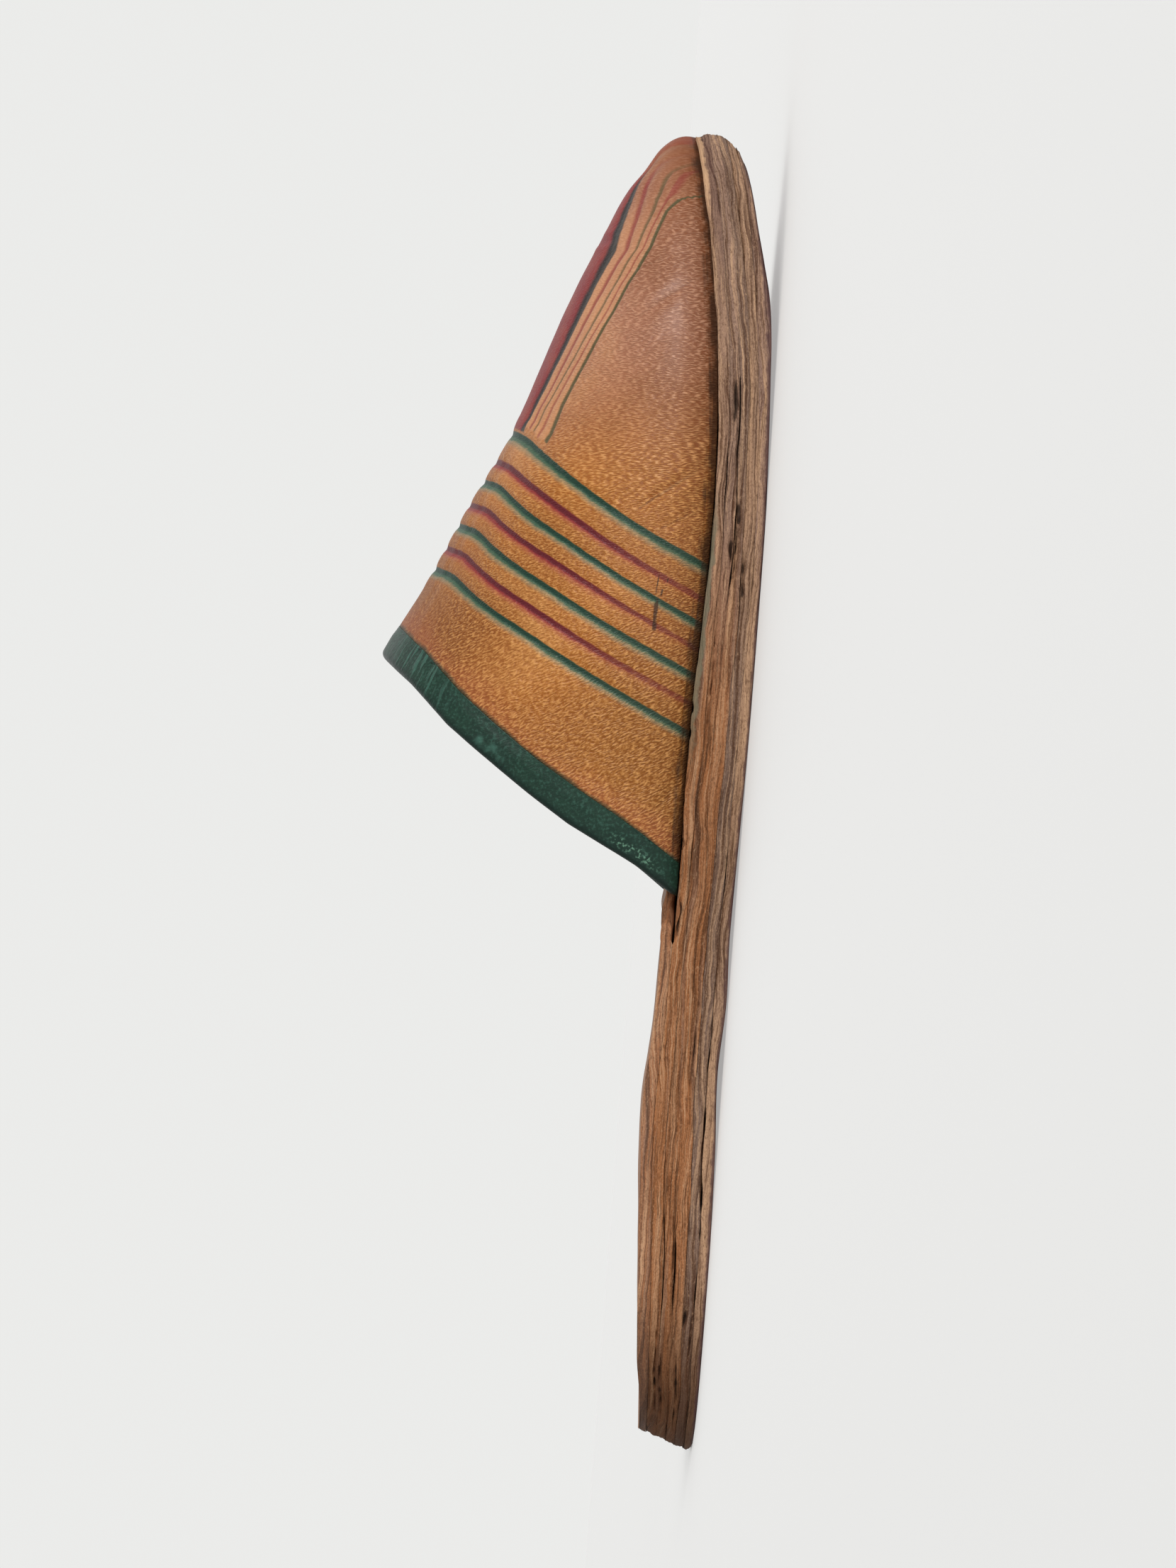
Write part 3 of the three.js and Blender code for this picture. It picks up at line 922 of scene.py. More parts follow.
def paint_lines(finish, settings, base, crest, station, distance):
    """Draws the band and the lengthwise lines over the leather.

    Each line of the band is dark and sharp on its toe side, with painted shadow on its groove's toe-side
    wall, and bleeds out towards the heel, with painted light on the groove's lit heel-side wall."""
    band = finish.attribute("band")
    stripe = finish.attribute("stripe")
    down = abs(distance)
    smear = finish.clouds(finish.vector(station * 0.5, distance * 0.35, 0), detail=3) - 0.5
    brush = finish.clouds(finish.vector(station * 0.22, distance * 0.12, 2), detail=3)
    nearest = band.math("ROUND", band).at_least(1).at_most(len(BAND_LINES))
    off = (band - nearest) * BAND_PITCH + smear * 0.35 + (crest - 0.5) * 0.1
    is_red = nearest.math("PINGPONG", nearest + 1, 1).step(0.4, 0.6)
    low_side = down.step(46, 86)
    faint = is_red * low_side
    width = 0.65 + down.step(46, 6) * 0.3 + (brush - 0.5) * 0.7 - faint * 0.3
    body = off.step(-0.75, -0.5) * off.step(width + 0.25, width - 0.25)
    # Dye that bled towards the heel, with painted light on the groove's lit heel-side wall
    dye_bleed_and_groove_light = off.step(-0.6, 0) * off.step(width + 1.1, width)
    # Dark heart of the dye, set to the toe side as painted shadow on the groove's toe-side wall
    dye_heart_and_groove_shadow = abs(off + 0.15).step(0.65, 0.25)
    fade = 1 - faint * 0.5 - low_side * 0.15
    ahead = band.step(0.82, 0.72)
    start = (band + smear * 0.3).step(0.62, 0.5)
    strips = stripe.step(1, 1.3) * stripe.step(5, 4.8)
    centre = (stripe + smear * 0.08).step(1.02, 0.94)
    worn = station.step(15, 6)
    centre_dye = finish.mix(brush.step(0.35, 0.7) * 0.35, settings.red, settings.rose)
    painted = base.coated(
        (dye_bleed_and_groove_light * fade * (0.6 - faint * 0.35), finish.mix(is_red, settings.mint, settings.rose)),
        (body * fade * 0.85, finish.mix(is_red, settings.green, settings.red)),
        (dye_heart_and_groove_shadow * fade * 0.85, finish.mix(is_red, settings.deep_green, settings.deep_red)),
        (strips * start * 0.5 * station.step(12, 34), settings.peach),
        (centre * ahead * (0.95 - worn * 0.6), centre_dye),
    )
    for number, look in enumerate(STRIPE_LOOKS, 1):
        off_line = abs(stripe - number - look.shift + smear * 0.12)
        line = off_line.step(look.half + 0.1, look.half - 0.08) * (ahead if number == 1 else start)
        painted = painted.coated((line * (1 - worn) * look.strength, getattr(settings, look.colour)))
    return painted


def crease_shade(finish, station, distance):
    """Painted shade in the bottoms of the creases, from 0 to 1."""
    shiver = finish.clouds(finish.vector(station * 0.3, distance * 0.3, 9)) - 0.5
    total = 0
    for fold in CREASES:
        dx, dy = fold.end[0] - fold.start[0], fold.end[1] - fold.start[1]
        from_x = station - fold.start[0] + shiver * 1.6
        from_y = distance - fold.start[1] + shiver * 1.6
        share = ((from_x * dx + from_y * dy) / (dx * dx + dy * dy)).at_least(0).at_most(1)
        off_x, off_y = from_x - share * dx, from_y - share * dy
        away = (off_x * off_x + off_y * off_y) ** 0.5
        ends = share.step(0, 0.3) * share.step(1, 0.7)
        total = away.step(fold.width * 0.45, 0.05) * ends * fold.depth + total
    return total.at_most(1)


def upper_material(settings):
    finish = Finish("painted_upper_leather")
    crest, station, distance = leather_grain(finish)
    down = abs(distance)
    place = finish.place()
    seat = finish.attribute("seat")
    collar = finish.attribute("collar")
    inside = finish.attribute("inside")
    blotch = finish.clouds(place, 38, 4)
    grime = finish.clouds(place, 260, 3)
    pressed = finish.clouds(finish.vector(station * 0.07, seat * 1.6, 0), detail=3)
    toe = station.step(80, 45)
    # Painted shade along the ridge, whose facet turns away from the light
    tone_patch = distance.step(-17, -11) * distance.step(14, 8) * station.step(60, 70)
    # Painted shade high on the side behind the band, which faces away from the light
    collar_ridge_shade = down.step(62, 24) * station.step(86, 104)
    dusty = (station - down * 0.2).step(84, 110) * seat.step(34, 8)
    flushed = (collar + (blotch - 0.5) * 14).step(7, 1)
    smooth = down.step(34, 20) * 0.4
    rough = (1 - smooth) * (0.35 + station.step(5, 18) * 0.65)
    base = finish.mix(toe, settings.amber, settings.russet).coated(
        (blotch.step(0.4, 0.7) * 0.45, settings.shade),
        (blotch.step(0.5, 0.28) * 0.3, settings.crest),
        # Painted shade low on the side, where the leather curls under towards the sole, streaked along its
        # pressed folds
        (seat.step(24, 1) * 0.6, settings.shade),
        ((seat + (pressed - 0.5) * 4).step(8, 1.5) * 0.65, settings.shade),
        # Painted shade along the ridge
        (tone_patch * 0.35, settings.shade),
        (collar_ridge_shade * 0.75, settings.shade),
        (dusty * 0.55, settings.ochre),
        (flushed * 0.3, settings.rose),
        # Painted shade in the creases
        (crease_shade(finish, station, distance) * 0.4, settings.stain_and_shade),
        (crest.step(0.6, 0) * rough * (0.3 - toe * 0.1), settings.shade),
        (crest * crest * rough * (0.62 - toe * 0.24), finish.mix(toe, settings.crest, settings.bloom)),
    )
    # Dirt along the sole, with painted shadow in the gap where the upper meets it
    stain_and_gap_shadow = (seat + (grime - 0.5) * 3 + (pressed - 0.5) * 3).step(2.6, 0.4)
    nick = (finish.attribute("nick") + (grime - 0.5) * 1.2).step(1.3, 0.7)
    bled = (collar + (grime - 0.5) * 1.4).step(1.2, 0.1)
    painted = paint_lines(finish, settings, base, crest, station, distance).coated(
        (stain_and_gap_shadow * 0.85, settings.stain_and_shade),
        (nick * 0.85, settings.stain_and_shade),
        (bled * 0.8, settings.binding),
    )
    suede = finish.mix(finish.clouds(place, 900, 3), settings.lining, settings.shade)
    polished = station.step(64, 34) * down.step(26, 38) * (1 - inside)
    finish.feed(
        Base_Color=finish.mix(inside, painted, suede),
        Roughness=0.48 - crest * rough * 0.1 + smooth * 0.25 + inside * 0.4,
        Specular_IOR_Level=0.25,
        Coat_Weight=polished * 0.3,
        Coat_Roughness=0.34,
        Normal=finish.bump(crest * rough + grime * 0.2, 0.00011),
    )
    return finish.material


# Binding

BINDING_COLUMNS = 300
LEG_ROWS = 12             # rows on either leg of the folded strip
LEG_CROWDING = 1.3
FOLD_ROWS = 14
FOLD_DEPTH = 0.5          # of the inner face, past the start of the bend
SKIVED_EDGE = 0.05        # the strip is pared down to this at its front
SKIVED_LENGTH = 1.8
LAP_LIFT = 0.02           # of its inner face above the upper, where it laps over
BINDING_DARK = (0.006, 0.016, 0.013, 1)
BINDING_PALE = (0.06, 0.16, 0.12, 1)


def make_binding(settings):
    total = 2 * LEG_ROWS + FOLD_ROWS
    piece, u, v, layer = leather_blank("collar_binding_leather", BINDING_COLUMNS, total, 1)
    around = u * 2 - 1
    step = np.rint(v * total)
    outer_leg = step <= LEG_ROWS
    inner_leg = step >= LEG_ROWS + FOLD_ROWS
    cover = layer < 0.5
    outside = BINDING_PROUD - BINDING_THICKNESS
    inside = -settings.wall / MM - GLUE_GAP
    padding = np.where(cover, BINDING_THICKNESS, 0)
    angle = np.pi / 2 - np.pi * np.clip((step - LEG_ROWS) / FOLD_ROWS, 0, 1)
    bend_start = GLUE_GAP - FOLD_DEPTH
    along = bend_start + (FOLD_DEPTH + padding) * np.cos(angle)
    offset = (outside + inside) / 2 + ((outside - inside) / 2 + padding) * np.sin(angle)
    covered, edge = collar_edges(around)
    reach = edge - covered - GLUE_GAP
    front = covered - edge - STEP_SLOPE - BINDING_LAP
    along = np.where(outer_leg, lerp(front, bend_start, (step / LEG_ROWS) ** LEG_CROWDING), along)
    along = np.where(inner_leg, lerp(bend_start, -reach, (step - LEG_ROWS - FOLD_ROWS) / LEG_ROWS), along)
    skived = lerp(SKIVED_EDGE, BINDING_PROUD, smooth_step(along, front, SKIVED_LENGTH - reach))
    offset = np.where(outer_leg & cover, skived, offset)
    offset = np.where(outer_leg & (along < -reach) & ~cover, LAP_LIFT, offset)
    station = edge + along
    distance = ridge_distance(np.clip(station, UPPER_TOE, RULER_END), around)
    flat = points_at(station, distance, 0.0)
    draw_over(piece, beside_upper(station, around, offset + 0.12 * lumps(flat, 5, 5.3) * cover))
    write_attributes(piece, grain=flat, along=along, rise=upper_height(station, around))
    close_seams(piece, 0.002)
    return piece


def binding_material(settings):
    finish = Finish("green_binding_leather")
    crest, _, distance = leather_grain(finish)
    place = finish.place()
    along = finish.attribute("along")
    rise = finish.attribute("rise")
    blotch = finish.clouds(place, 120, 3)
    chafe = finish.clouds(place, 1700, 3)
    pleats = finish.clouds(finish.vector(distance * 0.9, along * 0.12, 3))
    pleated = abs(abs(distance) - 25).step(15, 6) * pleats.step(0.52, 0.64)
    scuffed = abs(rise - 9).step(6, 2) * abs(along + 1.4).step(1.6, 0.4)
    # Paler rubbed patches near the fold
    tone_patch = blotch.step(0.62, 0.72) * abs(along + 1.5).step(2, 0.2)
    base = finish.mix(blotch.step(0.35, 0.7) * 0.4, settings.binding, BINDING_DARK).coated(
        (chafe.step(0.48, 0.72) * 0.3, BINDING_PALE),
        (chafe.step(0.5, 0.3) * 0.4, BINDING_DARK),
        (pleated * 0.45, BINDING_PALE),
        (scuffed * chafe.step(0.5, 0.68) * 0.55, settings.scuff),
        (along.step(-1.2, 0.6) * 0.75, BINDING_DARK),
        (tone_patch * 0.5, BINDING_PALE),
    )
    finish.feed(
        Base_Color=base,
        Roughness=0.5 - crest * 0.1,
        Specular_IOR_Level=0.22,
        Normal=finish.bump(crest * 0.5 + chafe + pleated * 2, 0.00006, 0.8),
    )
    return finish.material


# Sole

PLY_ROWS = 640
PLY_LAYERS = 9
RIM_INSETS = (0, 0.6, 1.6, 4)     # columns of points near the rim, in from it
RIM_ROOM = 8                      # half width under which those columns draw together
MIDDLE_COLUMNS = 3
PLY_COLUMNS = 2 * len(RIM_INSETS) + MIDDLE_COLUMNS - 1
STEEPEST = 40                     # of the outline's slope near its tips, where the rim is worn in
SHARP_CORNER = math.radians(50)
SHUT_CORNER = 0.05                # how far a ply's corners are rounded at a joint that is shut
GAPING_CORNER = 0.5               # and at one that gapes
END_FADE = (3, 18)                # from either end of the shoe, where the joints begin to wander
RAGGED_DEPTH = 1.1                # of the heel end
RAGGED_LENGTH = 12
PRESSED_SHUT = 0.47               # share of the glue gap that each ply fills where a joint is shut
INSOLE_FRAY = 0.6                 # share of the plies' own fray
LIP_SEED = 9
INSOLE_SEED = 11
END_LENGTH = 26                   # over which the plies' ends are drawn together

# Stations of the plies' worn ends, from the toe tip and from the heel, at shares of the stack's height.
SOLE_ENDS = table(
    "share toe heel",
    (0, 6.2, 0.6),
    (0.1, 4, 0),
    (0.3, 1.9, 0.6),
    (0.5, 1, 1.5),
    (0.7, 0.7, 2.1),
    (0.9, 0.9, 2.8),
    (1, 1.5, 3.2),
    (1.15, 1.8, 3.8),
)

# Splits in the edges of the plies, on both sides, at a level in the ply from 0 to 1.
SPLITS = table(
    "ply start end level depth height",
    ("sole_ply_tan", 53, 66, 0.35, 1.5, 0.3),
    ("sole_ply_tan", 62, 79, 0.05, 1.2, 0.2),
    ("sole_ply_grey", 78.5, 83.5, 0.75, 1.8, 0.5),
    ("sole_ply_grey", 82, 96, 0.92, 1.2, 0.2),
    ("sole_ply_tan", 84, 92, 0.2, 1.5, 0.35),
    ("sole_ply_pale", 88, 101, 0.9, 1.2, 0.25),
    ("sole_ply_tan", 98, 128, 0.7, 0.9, 0.12),
    ("outsole", 111, 127, 0.95, 0.6, 0.1),
    ("outsole", 133, 146, 0.95, 0.5, 0.1),
    ("outsole", 156, 174, 0.92, 0.6, 0.1),
    ("outsole", 180, 196, 0.94, 0.8, 0.12),
    ("sole_ply_top", 155, 165, 0.9, 1.4, 0.4),
    ("sole_ply_grey", 172, 205, 0.3, 0.8, 0.12),
    ("sole_ply_tan", 200, 224, 0.5, 0.6, 0.1),
    ("sole_ply_tan", 218, 234, 0.15, 0.8, 0.12),
    ("sole_ply_pale", 236, 241, 0.85, 1.5, 0.25),
    ("sole_ply_pale", 236.5, 247, 0.25, 1.1, 0.15),
    ("sole_ply_top", 240, 260, 0.35, 1.3, 0.14),
    ("sole_ply_tan", 246, 262, 0.8, 1.2, 0.12),
    ("sole_ply_grey", 244, 264, 0.4, 1.0, 0.14),
)

# Joints between plies that stand open at the rim. Joint 1 lies on the outsole, joint 5 under the insole.
OPENINGS = table(
    "joint start end height",
    (1, 172, 198, 0.2),
    (1, 196, 223, 0.6),
    (1, 228, 240, 0.2),
    (3, 54, 68, 0.5),
    (3, 76, 96, 0.45),
    (5, 152.5, 165, 1.7),
)

# The underside has trodden out of its even curve: how far it hangs below it at each station.
UNDERSIDE_SAG = table(
    "station sag",
    (0, 0),
    (22, 0),
    (31, 0.5),
    (38, 1),
    (46, 0.9),
    (55, 0.45),
    (66, 0.15),
    (80, 0),
    (162, 0),
    (176, 0.45),
    (190, -0.35),
    (206, 0),
    (270, 0),
)

# How far the insole's rim has swollen or worn down at each station.
INSOLE_WEAR = table(
    "station swell",
    (0, 0),
    (150, -0.3),
    (168, -0.6),
    (186, -0.6),
    (202, 0.3),
    (222, 0.6),
    (246, 0.5),
    (258, -0.3),
    (270, -0.4),
)
INSOLE_DISH = 0.6         # share of that wear away from the rim
WAIST_CURL = 1            # the insole's inner rim has curled up by this much at the waist


def drawn_in(station, toe_back, heel_back, edge_in):
    """Half width of the sole's outline, drawn in at the toe, the heel and the sides."""
    share = (station - toe_back) / (LENGTH - toe_back - heel_back)
    full = sole_half_width(share * LENGTH)
    return full - faded_margin(edge_in, full)


def insole_edge(station, side):
    seat = sole_half_width(drawn_back(station, INSOLE_TOE))
    inside = seat - faded_margin(EDGE_REVEAL + FEATHER_TUCK + WALL + INSOLE_CLEARANCE, seat)
    open_edge = drawn_in(station, INSOLE_TOE, INSOLE_HEEL_BACK, INSOLE_EDGE_IN)
    end = np.where(side > 0, COLLAR.outer_end, COLLAR.inner_end) + COLLAR.flare
    start = end + INSOLE_STEP_START
    return lerp(inside, open_edge, smooth_step(station, start, start + INSOLE_STEP_LENGTH))


def slab_stations(toe_back, heel_back):
    angle = lerp(TIP_ANGLE, math.pi - TIP_ANGLE, np.linspace(0, 1, PLY_ROWS + 1))
    return lerp(toe_back, LENGTH - heel_back, angle_station(angle) / LENGTH)


def away_from_ends(station):
    """0 at the toe and at the heel, where the two sides of a ply meet, and 1 along the shoe."""
    return smooth_step(np.minimum(station, LENGTH - station), *END_FADE)


def wander(station, side, joint):
    """How far a joint between two plies wanders from its level, at the rim."""
    where = points_at(station, side * 60, joint * 40.0)
    return (lumps(where, 21, 1.3) + 0.5 * lumps(where, 8, 6.1)) * away_from_ends(station)


def gaping(station, side, joint):
    """0 where a joint is pressed shut at the rim, 1 where it gapes."""
    gape = smooth_step(lumps(points_at(station, side * 70, joint * 55.0), 26, 7.7), 0.12, 0.45)
    return gape * smooth_step(station, 20, 60) * away_from_ends(station)


def joint_opening(station, joint):
    """Height of the open crack at a joint, for the stations of its rim."""
    total = np.zeros_like(station)
    for opening in OPENINGS:
        if opening.joint == joint:
            share = share_between(station, opening.start, opening.end)
            total = np.maximum(total, opening.height * np.sin(np.pi * share) ** 0.6)
    return total * np.clip(0.8 + 1.3 * lumps(points_at(station, 0, joint * 30.0), 5, 2.9), 0.15, 1.4)


def ply_splits(name, station, level, wave, rough):
    """Depth of the splits in a ply's rim."""
    depth = np.zeros_like(station)
    for split in SPLITS:
        if split.ply == name:
            opened_share = np.sin(np.pi * share_between(station, split.start, split.end)) ** 0.7
            torn = np.clip(0.75 + 0.9 * rough, 0.1, 1.3) * opened_share
            trough = ditch(level - split.level + 0.14 * wave, split.height * (0.3 + 0.5 * torn))
            depth = np.maximum(depth, split.depth * torn * trough)
    return depth


def slab_column(column, side, half):
    """Distance from the middle of each column of points, and how far in from the rim it lies."""
    room = np.minimum(1, half / RIM_ROOM)
    from_end = np.minimum(column, PLY_COLUMNS - column)
    inset = np.interp(from_end, np.arange(len(RIM_INSETS)), RIM_INSETS) * room
    middle = (column - PLY_COLUMNS / 2) / (PLY_COLUMNS / 2 - len(RIM_INSETS) + 1)
    near_rim = from_end < len(RIM_INSETS)
    flat = np.where(near_rim, side * (half - inset), middle * (half - RIM_INSETS[-1] * room))
    return flat, np.where(near_rim, inset, RIM_INSETS[-1])


def ends_shift(station, share, stations):
    """How far a point moves towards the heel, so that the plies' ends run into each other."""
    toe = read_straight(SOLE_ENDS, "toe", share) - stations[0]
    heel = LENGTH - read_straight(SOLE_ENDS, "heel", share) - stations[-1]
    from_toe = np.clip((station - stations[0]) / END_LENGTH, 0, 1)
    from_heel = np.clip((stations[-1] - station) / END_LENGTH, 0, 1)
    return toe * (1 - from_toe) ** 3 + heel * (1 - from_heel) ** 3


def make_slab(name, edge, stations, heights, fray):
    """A ply with a worn rim. Edge gives the half width on either side. Heights gives the bottom and the top,
    and how far the joints below and above gape there, from 0 to 1."""
    piece, u, v, layer = leather_blank(name + "_leather", PLY_ROWS, PLY_COLUMNS, PLY_LAYERS)
    i = np.rint(u * PLY_ROWS).astype(int)
    column = np.rint(v * PLY_COLUMNS)
    station = stations[i]
    side = np.where(column < PLY_COLUMNS / 2, -1.0, 1.0)
    level = 1 - layer
    flat, inward = slab_column(column, side, edge(station, side))
    inward = np.where((i == 0) | (i == PLY_ROWS), 0, inward)
    rim = inward < 0.01
    bottom, top, gape_below, gape_above = heights(station, side, inward)
    z = lerp(bottom, top, level)
    outline = edge(stations, np.ones_like(stations))
    walk = np.concatenate([[0], np.cumsum(np.hypot(np.diff(stations), np.diff(outline)))])
    turn = side * math.pi * walk[i] / walk[-1]
    radius = walk[-1] / math.pi
    above = z - underside_height(station)
    ring = points_at(radius * np.cos(turn), radius * np.sin(turn), above)
    swell = lumps(ring, 27, 5.9)
    coarse = lumps(ring, 9, 2.2)
    fibres = lumps(ring * (0.07, 0.07, 1.5), 1, 4.4)
    fine = lumps(ring * (0.3, 0.3, 3.2), 1, 8.8)
    rough = lumps(ring * (0.45, 0.45, 1.2), 1, 3.1)
    gape = np.where(level < 0.5, gape_below, gape_above)
    rounded = lerp(SHUT_CORNER, GAPING_CORNER, gape) * np.abs(2 * level - 1) ** 4
    split = ply_splits(name, station, level, coarse, rough)
    inset = fray * (0.5 + 0.8 * swell + 0.5 * coarse + 0.55 * fibres + 0.3 * fine) + rounded + split
    inset = np.where(rim, np.maximum(inset, 0), 0)
    slope = np.gradient(outline, stations)[i]
    length = np.sqrt(1 + slope**2)
    ragged = RAGGED_DEPTH * lumps(ring * (0.1, 0.1, 0.45), 1, 5.5)
    ragged = ragged * smooth_step(station, LENGTH - RAGGED_LENGTH, LENGTH)
    shift = ends_shift(station, above / stack_thickness(station), stations) - ragged
    x = LENGTH / 2 - station - shift - np.clip(slope, -STEEPEST, STEEPEST) * inset / length
    draw_over(piece, points_at(x, sole_middle(station) + flat - side * inset / length, z))
    torn = np.where(rim, split + np.maximum(inset - fray, 0) * 0.4, 0)
    write_attributes(piece, ring=ring, rim=rim, level=level, station=station, split=torn)
    close_seams(piece, 0.002)
    bpy.ops.object.shade_smooth_by_angle(angle=SHARP_CORNER)
    return piece


def make_ply(number, settings):
    ply = SOLE_PLIES[number]
    below = sum(row.share for row in SOLE_PLIES[:number])
    sway = settings.wobble / MM
    shut = GLUE_GAP * PRESSED_SHUT

    def heights(station, side, inward):
        leather = stack_thickness(station) - GLUE_GAP * (len(SOLE_PLIES) - 1)
        bottom = underside_height(station) + leather * below + GLUE_GAP * number
        top = bottom + leather * ply.share
        near_rim = smooth_step(inward, 1.8, 0.2)
        gapes = [np.ones_like(station), np.ones_like(station)]
        if number == 0:
            bottom = np.maximum(bottom - read_table(UNDERSIDE_SAG, "sag", station), 0)
        else:
            gapes[0] = gaping(station, side, number)
            rise = sway * wander(station, side, number) - shut * (1 - gapes[0])
            bottom = bottom + near_rim * (rise + joint_opening(station, number) / 2)
        if number < len(SOLE_PLIES) - 1:
            gapes[1] = gaping(station, side, number + 1)
            rise = sway * wander(station, side, number + 1) + shut * (1 - gapes[1])
        else:
            gapes[1] = smooth_step(station, 160, 150)
            lip = smooth_step(station, 70, 20) * 0.5 + 0.25
            chips = np.maximum(0, lumps(points_at(station, side * 50, 31.0), 2.4, 4.9) - 0.05)
            chipped = chips * smooth_step(station, 100, 135) * gapes[1]
            rise = lip * (1 + wander(station, side, LIP_SEED) * gapes[1]) - chipped
        top = top + near_rim * (rise - joint_opening(station, number + 1) / 2)
        return bottom, top, *gapes

    return make_slab(
        ply.name,
        lambda station, side: drawn_in(station, ply.toe_back, ply.heel_back, ply.edge_in),
        slab_stations(ply.toe_back, ply.heel_back),
        heights,
        settings.fray / MM,
    )


def make_insole(settings):
    def heights(station, side, inward):
        gape = joint_opening(station, len(SOLE_PLIES))
        seat = stack_height(station) + GLUE_GAP
        near_rim = smooth_step(inward, 4, 0.5)
        wear = read_table(INSOLE_WEAR, "swell", station) + 0.25 * wander(station, side, INSOLE_SEED)
        waist = smooth_step(station, 150, 166) * smooth_step(station, 212, 188)
        curl = WAIST_CURL * waist * near_rim * (side < 0)
        top = seat + INSOLE_THICKNESS + wear * lerp(INSOLE_DISH, 1, near_rim) + 0.3 * gape + curl
        bottom = seat + 0.5 * gape * smooth_step(inward, 2.5, 0.3)
        return bottom, top, np.minimum(gape, 1), np.full_like(station, 0.6)

    stations = slab_stations(INSOLE_TOE, INSOLE_HEEL_BACK)
    return make_slab("insole", insole_edge, stations, heights, settings.fray / MM * INSOLE_FRAY)


def torn_rim(finish, front, back, settings):
    """Colour and height of a torn leather edge: long wavy streaks of fibre.

    Front is its colour at the toe and back at the heel."""
    ring = finish.attribute("ring", "Vector")
    station = finish.attribute("station")

    def streaked(vector, along, across, detail=2, roughness=0.5):
        return finish.clouds(finish.scaled(vector, (along, along, across)), 1, detail, roughness)

    bend = streaked(ring, 0.045, 0.1) - 0.5
    quiver = streaked(ring, 0.3, 0.5) - 0.5
    x, y, z = finish.split(ring)
    bent = finish.vector(x, y, z + bend * 4 + quiver * 0.5)
    broad = streaked(bent, 0.012, 0.6)
    streaks = streaked(bent, 0.026, 1.6, 3, 0.62)
    fine = streaked(bent, 0.08, 4.4, 2, 0.6)
    flecks = streaked(bent, 0.9, 3, 2, 0.6)
    pits = streaked(ring, 2.4, 4, 2, 0.6)
    seams = streaked(bent, 0.016, 0.8)
    breaks = streaked(bent, 0.07, 0.4)
    heel = (station + (broad - 0.5) * 60).step(76, 128)
    line = abs(seams - 0.5).step(0.022, 0.004) * breaks.step(0.48, 0.62)
    split = (finish.attribute("split") + (flecks - 0.5) * 0.9).step(0.75, 1.15)
    base = finish.mix(heel, front, back).coated(
        (broad.step(0.49, 0.38) * 0.5, settings.grey),
        (broad.step(0.54, 0.66) * 0.35, settings.fibre),
        (streaks.step(0.53, 0.68) * 0.55, settings.fibre),
        (streaks.step(0.5, 0.36) * 0.75, settings.umber),
        (fine.step(0.5, 0.32) * 0.5, settings.umber),
        (fine.step(0.54, 0.74) * 0.3, settings.fibre),
        (flecks.step(0.48, 0.3) * 0.45, settings.umber),
        (flecks.step(0.58, 0.75) * 0.35, settings.fibre),
        (pits.step(0.48, 0.28) * 0.4, settings.umber),
        (pits.step(0.56, 0.76) * 0.3, settings.fibre),
        # Painted shade over the heel end, which faces away from the light
        ((station + (fine - 0.5) * 12).step(228, 258) * 0.75, settings.umber),
        (line * 0.6, settings.umber),
        # Painted shade inside the splits and where the rim is worn in deepest
        (split * 0.8, settings.crack),
    )
    return base, streaks * 0.8 + fine * 0.6 + flecks * 0.3 + pits * 0.3 - line * 0.3


def ply_material(ply, settings):
    """The lowest edge of the sole has painted shade along its bottom corner, where it rounds under; the
    topmost edge has other colours at its lip and near the toe.
    """
    finish = Finish(ply.name + "_edge")
    base, height = torn_rim(finish, getattr(settings, ply.front), getattr(settings, ply.back), settings)
    level = finish.attribute("level")
    station = finish.attribute("station")
    edge_jitter = finish.clouds(finish.place(), 420, 3) - 0.5
    if ply == SOLE_PLIES[0]:
        # Painted shade, in mauve, along the outsole's bottom corner where it rounds under
        base = base.coated(((level + edge_jitter * 0.5).step(0.42, 0.1) * 0.8, settings.mauve))
    if ply == SOLE_PLIES[-1]:
        lip = (level + edge_jitter * 0.8).step(0.5, 0.75)
        beside = station.step(74, 88) * station.step(134, 118)
        bark = (station + edge_jitter * 12).step(46, 24) * (level + edge_jitter * 0.8).step(0.85, 0.55)
        tip = (station + edge_jitter * 8).step(22, 12)
        base = base.coated(
            (lip * beside * 0.8, settings.lichen),
            (bark * 0.4, settings.mauve),
            (lip * tip * 0.7, settings.fibre),
        )
    bump = finish.bump(height, 0.0004, 0.8)
    finish.feed(Base_Color=base, Roughness=0.8, Specular_IOR_Level=0.15, Normal=bump)
    return finish.material


# Where the heel stood: behind the middle of the shoe, with its half length and half width.
HEEL_PRINT = namedtuple("Print", "back length width")(90, 34, 21)


